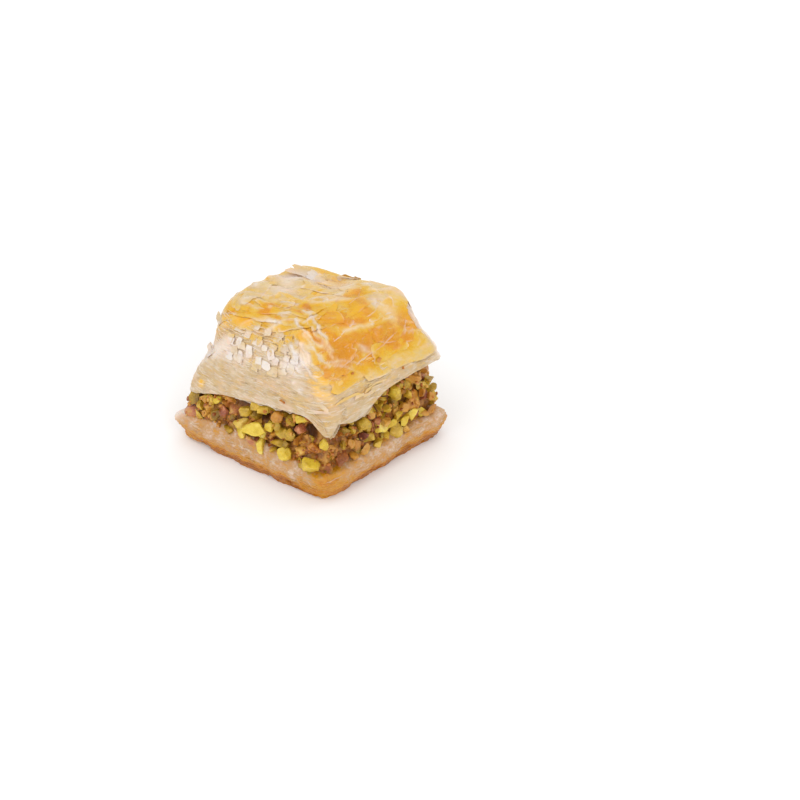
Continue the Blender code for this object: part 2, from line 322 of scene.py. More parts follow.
def even_angles(count):
    """Angles at even distances round the cut."""
    fine = np.linspace(-math.pi, math.pi, OUTLINE_STEPS)
    lengths = np.linalg.norm(np.diff(cut(fine), axis=0), axis=1)
    walked = np.concatenate([[0], np.cumsum(lengths)])
    return np.interp(np.linspace(0, walked[-1], count, endpoint=False), walked, fine)


# Materials

# Sockets of the Mix node where it mixes colours
MIX_SHARE, MIX_FIRST, MIX_SECOND, MIX_RESULT = 0, 6, 7, 2


class Look:
    """A material whose nodes are added one by one. A value is a number or the socket that feeds it."""

    def __init__(self, name, inputs):
        self.material = bpy.data.materials.new(name)
        self.material.use_nodes = True
        self.tree = self.material.node_tree
        self.shader = self.tree.nodes["Principled BSDF"]
        self.feed(self.shader, inputs)

    def feed(self, made, inputs):
        for key, value in inputs.items():
            if isinstance(value, bpy.types.NodeSocket):
                self.tree.links.new(value, made.inputs[key])
            else:
                made.inputs[key].default_value = value

    def node(self, kind, inputs, **settings):
        made = self.tree.nodes.new("ShaderNode" + kind)
        for key, value in settings.items():
            setattr(made, key, value)
        self.feed(made, inputs)
        return made

    def maths(self, operation, a, b):
        return self.node("Math", {0: a, 1: b}, operation=operation).outputs[0]

    def plus(self, a, b):
        return self.maths("ADD", a, b)

    def times(self, a, b):
        return self.maths("MULTIPLY", a, b)

    def above_zero(self, a):
        return self.maths("MAXIMUM", a, 0.0)

    def grain(self, scale, detail=3, stretch=(1, 1, 1), distortion=0.0):
        """Noise with scale lumps a metre of the object, stretched along the creases and across them."""
        place = self.node("TexCoord", {}).outputs["Object"]
        place = self.node("Mapping", {"Vector": place, "Rotation": (0, 0, -CREASES)}).outputs[0]
        place = self.node("Mapping", {"Vector": place, "Scale": stretch}).outputs[0]
        inputs = {"Vector": place, "Scale": scale, "Detail": detail, "Distortion": distortion}
        return self.node("TexNoise", inputs).outputs["Fac"]

    def patches(self, size, *grain, middle=0.5):
        """Grain around its middle instead of from 0 to 1, times a size."""
        return self.times(self.maths("SUBTRACT", self.grain(*grain), middle), size)

    def at_points(self, name):
        """The value of this name that the mesh has at each point."""
        return self.node("Attribute", {}, attribute_name=name).outputs["Fac"]

    def ramp(self, value, colours):
        made = self.node("ValToRGB", {0: value})
        while len(made.color_ramp.elements) < len(colours):
            made.color_ramp.elements.new(1)
        for element, (place, *colour) in zip(made.color_ramp.elements, colours):
            element.position = place
            element.color = (*colour, 1)
        return made.outputs[0]

    def mixed(self, share, a, colour):
        inputs = {MIX_SHARE: share, MIX_FIRST: a, MIX_SECOND: (*colour, 1)}
        return self.node("Mix", inputs, data_type="RGBA").outputs[MIX_RESULT]

    def finish(self, colour, roughness, height, distance):
        """Feeds the shader, with bumps of a distance in metres."""
        bumps = self.node("Bump", {"Height": height, "Strength": 1.0, "Distance": distance}).outputs[0]
        self.feed(self.shader, {"Base Color": colour, "Roughness": roughness, "Normal": bumps})


# Colours along the browning, each after its place from 0 to 1. Towards the pale end they are darker than
# DRY_COLOURS: painted shade on the low sheets of the sides and on the core behind them, which take them
# through crisp_sheets
SHADED_PASTRY_COLOURS = (
    (0.00, 0.80, 0.70, 0.63),
    (0.14, 0.66, 0.53, 0.385),
    (0.28, 0.55, 0.40, 0.23),
    (0.40, 0.60, 0.40, 0.18),
    (0.52, 0.77, 0.48, 0.13),
    (0.64, 0.77, 0.42, 0.035),
    (0.82, 0.78, 0.37, 0.007),
    (1.00, 0.72, 0.26, 0.003),
)
# The same browning without that painted shade, lighter towards the pale end, for all the other sheets
DRY_COLOURS = (
    (0.00, 0.85, 0.75, 0.66),
    (0.14, 0.80, 0.64, 0.48),
    (0.28, 0.74, 0.54, 0.32),
    (0.40, 0.69, 0.47, 0.22),
    *SHADED_PASTRY_COLOURS[4:],
)
BASE_COLOURS = (
    (0.00, 0.66, 0.50, 0.38),
    (0.26, 0.52, 0.285, 0.115),
    (0.48, 0.57, 0.255, 0.008),
    (0.72, 0.52, 0.19, 0.002),
    (1.00, 0.33, 0.10, 0.002),
)
# Colours of the core, from a near black that is partly dark syrup and partly painted shade between the nuts,
# up to syrup brown
CORE_COLOURS = (
    (0.0, 0.10, 0.03, 0.002),
    (0.4, 0.26, 0.09, 0.006),
    (0.7, 0.44, 0.19, 0.02),
    (1.0, 0.54, 0.30, 0.06),
)
NUT_COLOURS = {
    "green": ((0, .22, .11, .003), (.35, .43, .255, .01), (.7, .62, .395, .035), (1, .74, .52, .11)),
    "yellow": ((0, .42, .24, .01), (.4, .64, .44, .025), (.8, .77, .57, .07), (1, .82, .66, .2)),
    "brown": ((0, .3, .1, .006), (.4, .5, .21, .018), (.8, .62, .32, .045), (1, .72, .45, .11)),
    "skin": ((0, .12, .025, .01), (.4, .34, .09, .035), (.7, .52, .2, .08), (1, .58, .34, .09)),
    "crumb": ((0, .24, .06, .005), (.4, .45, .145, .014), (.7, .56, .235, .03), (1, .64, .37, .06)),
}
TORN_EDGE_COLOUR = (0.86, 0.77, 0.70)
PINK_CAST, YELLOW_CAST = (0.83, 0.53, 0.36), (0.75, 0.47, 0.05)
# How much finer the grain is along the creases, across them and upwards
STREAKED = (0.22, 1, 1.4)


def food(name, waxy, glow, depth, coat, coat_roughness, **inputs):
    """A look that light enters: waxy says how much, depth how many millimetres, and glow in what colours."""
    return Look(name, {
        "Subsurface Weight": waxy,
        "Subsurface Radius": glow,
        "Subsurface Scale": depth * MM,
        "Coat Weight": coat,
        "Coat Roughness": coat_roughness,
        **inputs,
    })


def pastry_material(name, colours, patchy, coat, roughness, stretch=STREAKED, casts=1, fibres=1.2, alpha=1):
    """Baked sheets: white where they are thin, golden where they are baked, orange where syrup soaked in."""
    look = food(name, 0.2, (1.0, 0.6, 0.3), 1.0, coat, 0.15, **{"Specular IOR Level": 0.35, "Alpha": alpha})
    broad = look.patches(patchy, 230, 5)
    streaks = look.patches(patchy * 0.8, 900, 4, stretch, 0.8)
    toast = look.plus(look.at_points("toast"), look.plus(broad, streaks))
    colour = look.ramp(toast, colours)
    yellow = look.patches(1.6 * casts, 370, 4, (0.5, 1, 1))
    colour = look.mixed(look.above_zero(yellow), colour, YELLOW_CAST)
    dry = look.above_zero(look.maths("SUBTRACT", 0.78, toast))
    pink = look.times(look.patches(8.0 * casts, 310, 4, (0.5, 1, 1)), dry)
    colour = look.mixed(look.above_zero(pink), colour, PINK_CAST)
    pale = look.at_points("pale")
    colour = look.mixed(look.times(pale, 0.7 * casts), colour, PINK_CAST)
    fibre = look.patches(fibres, 1500, 4, stretch, 0.8, middle=0.53)
    edge = look.maths("MAXIMUM", fibre, look.times(look.maths("POWER", pale, 1.3), 0.9))
    colour = look.mixed(edge, colour, TORN_EDGE_COLOUR)
    shine = look.plus(look.patches(0.5, 420, 3), roughness)
    shine = look.maths("SUBTRACT", shine, look.times(look.at_points("wet"), 0.2))
    look.finish(colour, shine, look.grain(1000, 6, (0.5, 1, 2.4), 0.6), 0.10 * MM)


def soaked_material(name):
    """Pressed sheets full of syrup: pinkish and cloudy above, orange below."""
    look = food(name, 0.3, (1.0, 0.5, 0.22), 1.2, 0.15, 0.08)
    broad = look.patches(0.8, 320, 5)
    lines = look.patches(0.7, 700, 5, (1, 1, 1.8), 1.0)
    toast = look.plus(look.at_points("toast"), look.plus(broad, lines))
    edge = look.times(look.at_points("pale"), 0.8)
    colour = look.mixed(edge, look.ramp(toast, BASE_COLOURS), TORN_EDGE_COLOUR)
    shine = look.plus(look.patches(0.4, 600, 3), 0.33)
    look.finish(colour, shine, look.grain(700, 6, (1, 1, 2.0), 0.8), 0.30 * MM)


def nut_material(name, colours, roughness, coat):
    """Chopped nut: a tone of each nut's own, patches, and a fine crumbly grain."""
    look = food(name, 0.25, (1.0, 0.7, 0.2), 1.0, coat, 0.2)
    tone = look.plus(look.patches(1.3, 420, 5), look.patches(0.5, 2400, 3))
    tone = look.plus(look.at_points("toast"), tone)
    look.finish(look.ramp(tone, colours), roughness, look.grain(1100, 6), 0.28 * MM)


# Base

BASE_FLARE = 3.4 * MM
BASE_ROUND = 2.2 * MM
BASE_ROUND_POWER = 5
BASE_SHEETS = 9
BASE_ROWS = 54
BASE_COLUMNS = 560
# Above its cut side the base slopes up to the nuts: millimetres out from the cut and up from its height
BASE_SHOULDER = ((0.7, 0.8), (0.1, 1.5), (-0.6, 2.0), (-1.4, 2.1), (-2.4, 1.4), (-4.0, 0.0))
# Edges of single sheets: their shares of the base's height, their thickness, and paleness from root to lip
BASE_EDGES = (0.10, 0.24, 0.39, 0.52, 0.66, 0.79, 0.91)
BASE_EDGE_THICKNESS = 0.22 * MM
BASE_EDGE_PALE = np.array((0, 0, 0.25, 0.4, 0.35))[:, None]


def base_side(angle, share, out=0.0):
    """The base's cut side at a share of its height."""
    grow = BASE_FLARE * share - BASE_ROUND * share**BASE_ROUND_POWER + out
    return cut(angle, grow, share * BASE_HEIGHT)


def base_toast(points):
    """Cloudy and pinkish higher up, orange towards the foot, and amber at the near and left corners."""
    angle, share = round_angle(points), points[..., 2] / BASE_HEIGHT
    toast = mix(0.95, 0.24, step(0.18, 0.74, share + 0.22 * noise_at(points, 3, 0.25)))
    left = bell(angle, -2.30, 0.12) * step(0.95, 0.7, share)
    return mix(mix(toast, 0.60, bell(angle, -0.74, 0.14)), 0.55, left)


def shoulder_rise(angle):
    """How much of the shoulder there is: all of it along the middle of the front, and less elsewhere."""
    front = step(-2.34, -2.05, angle) * step(-0.92, -1.15, angle)
    return np.maximum(mix(0.35, 1.0, front) + 0.15 * noise_at(cut(angle), 12, 0.2), 0.1)


def base_shoulder(angle):
    """Rings from the top of the cut side to the middle."""
    steps, heights = np.array(BASE_SHOULDER).T[..., None] * MM
    rings = cut(angle, steps, BASE_HEIGHT)
    rings = np.concatenate([rings, rings[-1:] * (0.5, 0.5, 1)])
    raised = heights * shoulder_rise(angle)
    rings[..., 2] += np.concatenate([raised, raised[-1:]]) + 0.25 * MM * rough(shifted(rings, 8) * 0.5)
    return rings


def base_body():
    """The pressed sheets, which show as soft lines on the cut sides."""
    piece = Piece()
    angle = even_angles(BASE_COLUMNS)[None, :]
    share = np.linspace(0, 1, BASE_ROWS)[:, None]
    smooth = base_side(angle, share)
    in_plan = smooth * (1, 1, 0)
    wavy = share + 0.05 * noise_at(in_plan, 1, 0.12) + 0.02 * noise_at(in_plan, 2, 0.5)
    layers = np.abs(np.sin(math.pi * BASE_SHEETS * wavy)) ** 0.7
    depth = mix(0.45, 0.15, share) + 0.25 * noise_at(smooth, 4, 0.2)
    out = depth * (layers - 0.6) + 0.75 * noise_at(smooth, 5, 0.15) + 0.26 * rough(shifted(smooth, 6) * 0.6)
    left = bell(angle, -2.40, 0.10) * step(0.55, 0.85, share)
    sides = base_side(angle, share, (out + 0.9 * left) * MM)
    notch = np.maximum(noise_at(in_plan, 7, 0.33) - 0.1, 0) * 2.4 * MM
    sides[..., 2] += notch * (1 - share) ** 3
    points = np.concatenate([sides, base_shoulder(angle)])
    white_corner = bell(round_angle(points), -2.38, 0.07) * step(0.6, 0.85, points[..., 2] / BASE_HEIGHT)
    piece.add(*solid(points), toast=base_toast(points), pale=0.9 * white_corner)
    piece.build("base_soaked_body", "soaked_pastry", 60, "syrupy_pastry", "base_pastry")


def base_sheet_edges():
    """Edges of single soaked sheets that stand out of the pressed side here and there."""
    piece = Piece()
    angle = even_angles(BASE_COLUMNS)
    for seed, share in enumerate(BASE_EDGES, 20):
        own = shifted(cut(angle), seed)
        level = share + 0.04 * noise_at(cut(angle), 9, 0.15) + 0.02 * noise(own * 0.6)
        lip = -0.25 + 0.55 * noise(own * 0.28) + 0.30 * noise(own * 1.1)
        lip += 0.5 * step(0.8, 1.0, share)
        section = ((-2.5, 0.5), (-2.5, -0.5), (lip - 0.1, -0.4), (lip + 0.06, 0.0), (lip - 0.1, 0.4))
        rings = [base_side(angle, level, out * MM) + (0, 0, up * BASE_EDGE_THICKNESS) for out, up in section]
        rings = np.stack(rings)
        toast = base_toast(rings) + 0.1 * noise(own * 0.3)
        piece.add(*hoop(rings), toast=toast, pale=BASE_EDGE_PALE * step(0.3, 1.0, share))
    piece.build("base_sheet_edges", "soaked_pastry", 50, "syrupy_pastry", "base_pastry")


def base():
    soaked_material("soaked_pastry")
    base_body()
    base_sheet_edges()


# Filling

NUT_GAP = 0.1 * MM
NUT_FLOOR = BASE_HEIGHT + 0.05 * MM
NUT_PRESS = 0.2 * MM
# How far a nut is moved inwards at most, to rest on what lies behind it
DEEPEST_GAP = 4 * MM
# Share of the way out from the middle where the rim starts to hang
UNDERSIDE_SHARE = 0.82
# Steps round the cut at which nuts are tried, and the distance that they keep as a share of their two sizes
NUT_ANGLES = 4000
NUT_DISTANCE = 0.36
# Distance that a nut keeps from the dark gaps as a share of its size
GAP_SHARE = 0.22

# Nuts that stand out in the photo: kind, angle, height, inset from the cut and sizes, then turn and tilt
KEY_NUTS = (
    ("yellow", -1.500, 15.6, -1.4, (10.6, 4.2, 3.9), 0.00, 0.46),
    ("yellow", -0.872, 12.4, -1.2, (5.0, 4.4, 5.4), 0.10, 0.35),
    ("green", -0.885, 8.4, -2.4, (3.2, 2.6, 2.6), 0.00, 0.5),
    ("yellow", -0.764, 19.4, 0.2, (3.0, 3.4, 3.0), 0.30, 0.4),
    ("yellow", -1.121, 11.8, -0.6, (3.4, 4.0, 4.4), -0.70, 0.3),
    ("skin", -1.972, 16.2, 0.6, (3.6, 3.6, 3.0), 0.80, 0.2),
    ("skin", -0.960, 22.0, 0.8, (3.0, 3.8, 2.8), 0.30, 0.9),
    ("skin", -1.287, 12.9, 0.4, (1.8, 1.7, 1.6), 0.00, 0.2),
    ("brown", -1.217, 22.4, 0.6, (4.6, 3.2, 3.0), 0.40, 0.1),
    ("green", -1.671, 19.6, 0.8, (3.8, 4.2, 3.0), -0.50, 0.6),
    ("green", -1.420, 22.2, 1.2, (4.4, 3.2, 3.0), 0.30, 0.2),
    ("green", -2.270, 13.6, 1.6, (3.0, 3.6, 2.8), 0.60, 0.5),
    ("green", -2.130, 17.6, 1.2, (2.6, 3.6, 2.6), 0.00, 0.9),
    ("green", -1.060, 18.4, 0.8, (4.0, 3.6, 3.0), 0.20, 0.4),
    ("yellow", -2.060, 18.8, 1.2, (2.4, 3.4, 2.4), 0.30, 0.7),
    ("brown", -2.177, 12.0, 0.6, (2.8, 2.6, 2.2), 0.50, 0.2),
)
KIND_SHARES = (("green", 0.48), ("yellow", 0.13), ("brown", 0.26), ("skin", 0.13))
# Kinds of nuts where the syrup has made them one brown mass
SYRUPY_KINDS = ("brown", "crumb")


def filling_ceiling(points):
    """The highest that a nut may reach: under the top, and under its hanging rim near the outline."""
    y = points[..., 1] / FLANK_AXIS[1]
    x = points[..., 0] - FLANK_AXIS[0] * y
    across, along = 2 * x / FRONT_SIDE, 2 * y / FLANK_SIDE
    near_rim = np.maximum(np.abs(across), np.abs(along)) > UNDERSIDE_SHARE
    return interface_height(points) - NUT_GAP - np.where(near_rim, sag(np.arctan2(along, across)), 0)


def turn_matrix(turn, tilt):
    """Turns about the vertical after raising the far end of the long axis by tilt."""
    c, s, ct, st = math.cos(turn), math.sin(turn), math.cos(tilt), math.sin(tilt)
    return np.array(((c, -s, 0), (s, c, 0), (0, 0, 1))) @ np.array(((ct, 0, -st), (0, 1, 0), (st, 0, ct)))


def sphere(subdivisions):
    bm = bmesh.new()
    bmesh.ops.create_icosphere(bm, subdivisions=subdivisions, radius=1)
    points = np.array([vert.co for vert in bm.verts])
    faces = [[vert.index for vert in face.verts] for face in bm.faces]
    bm.free()
    return points, faces


SPHERES = {detail: sphere(detail) for detail in (1, 2, 3, 4)}


def chopped(rng, sizes, detail, cuts, left=(0.30, 0.75)):
    """A nut cut by a knife: a rounded body with flat faces, where each cut left a share of its reach."""
    points, faces = SPHERES[detail]
    points = points * sizes / 2 * (1 + 0.20 * noise(points * 1.1 + rng.uniform(0, 99, 3)))[:, None]
    for _ in range(cuts):
        direction = unit(rng.normal(size=3))
        distance = points @ direction
        over = np.maximum(distance - distance.max() * rng.uniform(*left), 0)
        points = points - over[:, None] * direction
    crumbly = rough(points / MM * 0.8 + rng.uniform(0, 99, 3), 3)
    return points * (1.08 + 0.09 * crumbly)[:, None], faces


def frame_on_side(angle):
    """Rows of a matrix that turns X along the cut's side, Y into it and Z up."""
    aside = unit(cut(angle + 0.01) - cut(angle - 0.01))
    return np.stack([aside, np.cross((0, 0, 1), aside), (0, 0, 1)])


def nut(rng, angle, centre, sizes, turn, tilt, detail, cuts, low=NUT_FLOOR, left=(0.30, 0.75)):
    """A chopped nut beside the cut's side: its points and faces."""
    points, faces = chopped(rng, np.array(sizes), detail, cuts, left)
    points = points @ turn_matrix(turn, tilt).T @ frame_on_side(angle) + centre
    points[:, 2] = np.clip(points[:, 2], low, np.maximum(filling_ceiling(points), low + 0.2 * MM))
    return points, faces


def tree_of(shells):
    """The surface of all shells, to find what lies on them."""
    points, faces = [], []
    for shell_points, shell_faces in shells:
        faces += [[corner + len(points) for corner in face] for face in shell_faces]
        points += shell_points.reshape(-1, 3).tolist()
    return BVHTree.FromPolygons(points, faces)


def settled(points, carrier):
    """The nut moved inwards until it rests on what lies behind it."""
    inwards = -outwards(points.mean(axis=0))
    gaps = [carrier.ray_cast(Vector(point), Vector(inwards), DEEPEST_GAP)[3] for point in points[::5]]
    return points + inwards * (min([gap for gap in gaps if gap is not None], default=0.0) + NUT_PRESS)


def spread_places(rng, tries, spacing, shares, taken):
    """Places on the cut sides, clear of each other and of those taken: angle, height, share of it and size.

    Spacing is the range of sizes in millimetres.
    """
    angles = even_angles(NUT_ANGLES)[rng.integers(NUT_ANGLES, size=tries)]
    sizes = rng.uniform(*np.array(spacing) * MM, size=tries)
    points = cut(angles)
    high = filling_ceiling(cut(angles, -3 * MM))
    rise = rng.uniform(*shares, size=tries)
    points[:, 2] = mix(BASE_HEIGHT, high, rise)
    kept, kept_sizes = [point for point, _ in taken], [size for _, size in taken]
    places = []
    for place in range(tries):
        away = np.linalg.norm(np.array(kept).reshape(-1, 3) - points[place], axis=1)
        if np.all(away > NUT_DISTANCE * (sizes[place] + np.array(kept_sizes))):
            kept.append(points[place])
            kept_sizes.append(sizes[place])
            places.append((angles[place], points[place, 2], rise[place], sizes[place]))
    return places


# Layers of nuts, from the front: inset at the foot and the top, sizes, places tried and shares of the height
NUT_LAYERS = (
    ((-0.7, 1.4), (3.2, 7.6), 6000, (0.03, 0.93)),
    ((1.2, 2.8), (3.2, 6.0), 4000, (0.05, 1.0)),
)
CRUMB_SIZES = (0.6, 1.8)
CRUMB_PLACES = 2000
CRUMB_HEIGHTS = (0.0, 0.97)
# Crumbs are dropped inwards from this far outside the cut, onto what they meet between these distances
CRUMB_START = 8 * MM
CRUMB_REACH = (8.7 * MM, 13 * MM)

# Gaps between the nuts, where the core is set back and painted dark as shade: angle, height and radius in
# millimetres
NUT_GAPS = (
    (-1.846, 21.2, 2.0),
    (-1.130, 24.5, 1.8),
    (-0.860, 21.2, 2.0),
    (-0.640, 22.2, 2.0),
    (-1.500, 18.6, 1.2),
    (-1.020, 19.6, 1.2),
)
GAP_DEPTH = 2.6 * MM


def gap_distance(points):
    """Distance of points on the cut sides from the edge of the nearest dark gap, negative inside it."""
    middles = [(cut(angle, 0.0, height * MM), radius * MM) for angle, height, radius in NUT_GAPS]
    return np.min([np.linalg.norm(points - middle, axis=-1) - radius for middle, radius in middles], axis=0)


def syrupy(angle):
    """Share of the nuts that are only a brown, syrupy mass: many at the left end and at the near corner."""
    return 0.75 * bell(angle, -2.12, 0.18) + 0.8 * bell(angle, -0.80, 0.22)


def nut_tone(points, tone):
    """Tone of a nut's patches, darker at the near corner under the hanging tip: partly syrup that gathers
    there, partly painted shade.
    """
    return tone + 0.22 * noise_at(points, 71, 0.45) - 0.26 * bell(round_angle(points), -0.72, 0.26)


def key_nuts(rng):
    """The nuts that stand out, as kind, tone, points and faces, and the places and sizes they take up."""
    nuts, taken = [], []
    for kind, angle, height, inset, sizes, turn, tilt in KEY_NUTS:
        sizes = np.array(sizes) * MM
        centre = cut(angle, -inset * MM, height * MM)
        low = 0.0 if height * MM < BASE_HEIGHT else NUT_FLOOR
        tone = rng.uniform(0.45, 0.65)
        nuts.append((kind, tone, *nut(rng, angle, centre, sizes, turn, tilt, 4, 8, low, (0.55, 0.85))))
        taken.append((cut(angle, 0.0, height * MM), sizes[:2].max()))
    return nuts, taken


def scattered_nuts(rng, taken, insets, spacing, tries, heights):
    """A layer of nuts of all kinds, clear of the places taken and of the dark gaps."""
    kinds, shares = zip(*KIND_SHARES)
    nuts = []
    for angle, height, rise, size in spread_places(rng, tries, spacing, heights, taken):
        if gap_distance(cut(angle, 0.0, height)) < GAP_SHARE * size:
            continue
        kind = rng.choice(SYRUPY_KINDS) if rng.random() < syrupy(angle) else rng.choice(kinds, p=shares)
        sizes = size * np.array((1.2, *drawn(rng, (0.7, 1.0), (0.55, 0.85))))
        turn, tilt = drawn(rng, (-1.2, 1.2), (-1.2, 1.2))
        inset = mix(*insets, rise) + 0.28 * (size / MM - 3.2) + rng.uniform(-0.4, 0.6)
        inset = inset + 0.4 * bell(angle, -2.42, 0.12)
        tone = rng.uniform(0.15, 0.9)
        centre = cut(angle, -inset * MM, height)
        nuts.append((kind, tone, *nut(rng, angle, centre, sizes, turn, tilt, 3, 8)))
    return nuts


def crumbs(rng, carrier):
    """Small crumbs on whatever of the nuts shows outside."""
    for angle, height, _, size in spread_places(rng, CRUMB_PLACES, CRUMB_SIZES, CRUMB_HEIGHTS, []):
        start = cut(angle, CRUMB_START, height)
        hit, _, _, distance = carrier.ray_cast(Vector(start), Vector(-outwards(start)))
        if hit is None or not CRUMB_REACH[0] < distance < CRUMB_REACH[1]:
            continue
        sizes = size * np.array((1.1, 0.9, 0.8))
        turn, tilt = drawn(rng, (0, 3), (0, 3))
        points, faces = nut(rng, angle, np.array(hit), sizes, turn, tilt, 1, 3)
        yield points, faces, nut_tone(points, rng.uniform(0.1, 0.9))


def filling(core):
    """The nuts, laid on the core from the inner layer outwards, and the crumbs on them."""
    rng = np.random.default_rng(23)
    pieces = {kind: Piece() for kind in NUT_COLOURS}
    outer, taken = key_nuts(rng)
    outer += scattered_nuts(rng, taken, *NUT_LAYERS[0])
    inner = scattered_nuts(rng, [], *NUT_LAYERS[1])
    shells = [core]
    for layer in (inner, outer):
        carrier = tree_of(shells)
        for kind, tone, points, faces in layer:
            points = settled(points, carrier)
            pieces[kind].add(points, faces, toast=nut_tone(points, tone))
            shells.append((points, faces))
    for points, faces, tone in crumbs(rng, tree_of(shells)):
        pieces["crumb"].add(points, faces, toast=tone)
    for kind, piece in pieces.items():
        nut_material("nut_" + kind, NUT_COLOURS[kind], 0.45, 0.12)
        piece.build(f"filling_{kind}_pieces", "nut_" + kind, 28, "chopped_pistachio", "pistachio_filling")


FILLING_COLUMNS, FILLING_ROWS = 560, 44


def filling_core():
    """The packed, syrupy nuts behind the pieces that show, and their shell, painted dark as shade in the gaps
    between the nuts.
    """
    piece = Piece()
    angle = even_angles(FILLING_COLUMNS)[None, :]
    share = np.linspace(0, 1, FILLING_ROWS)[:, None]
    inset = mix(1.6, 4.6, step(0.2, 0.8, share)) * (1 - 0.6 * syrupy(angle)) * MM
    points = cut(angle, -inset)
    points[..., 2] = mix(BASE_HEIGHT, interface_height(points) - NUT_GAP, share)
    on_cut = cut(angle, 0 * share, points[..., 2])
    in_gap = step(1.0 * MM, -1.0 * MM, gap_distance(on_cut))
    lumps = 0.6 * rough(shifted(points, 31) * 0.55, 4)
    points += outwards(points) * (lumps * MM - GAP_DEPTH * in_gap)[..., None] * (1, 1, 0)
    shell = solid(points)
    # In the gaps the core's colour is pushed to its darkest end: painted shade in the hollows between the
    # nuts
    piece.add(*shell, toast=0.35 + 0.3 * lumps + 0.3 * syrupy(angle) - 0.9 * in_gap)
    nut_material("filling_syrup_and_shade", CORE_COLOURS, 0.5, 0.08)
    piece.build("filling_core", "filling_syrup_and_shade", 60, "chopped_pistachio", "pistachio_filling")
    return shell


# Top

# Shares of the rise of the sheets whose edges show on the sides, closer together near the rim
LOW_RISES = np.linspace(0.012, 0.42, 22)
HIGH_RISES = np.linspace(0.445, 0.90, 16)
SIDE_COLUMNS = 430
SHEET_THICKNESS = 0.08 * MM
# Distance between the points of torn sheets and edges, in millimetres
SPACING = 0.45
# Rows from the rim over the shoulder to the crown's middle, of the core and of the surface that sheets lie on
CORE_RISES = np.concatenate([np.linspace(0, 0.96, 74), np.linspace(0.975, 1.98, 30)])[:, None]
MOUND_RISES = np.concatenate([np.linspace(0, 0.99, 90), np.linspace(1.0, 1.98, 30)])[:, None]
CORE_COLUMNS, MOUND_COLUMNS = 440, 360

# Browning of the right, back, left and front side by its share of the rise
SIDE_TOAST = (
    (0.28, 0.42, 0.71, 0.80, 0.72, 0.58),
    (0.24, 0.26, 0.40, 0.50, 0.54, 0.50),
    (0.22, 0.24, 0.34, 0.44, 0.50, 0.41),
    (0.23, 0.31, 0.21, 0.26, 0.52, 0.43),
)
TOAST_RISES = (0.0, 0.25, 0.45, 0.68, 0.90, 1.0)

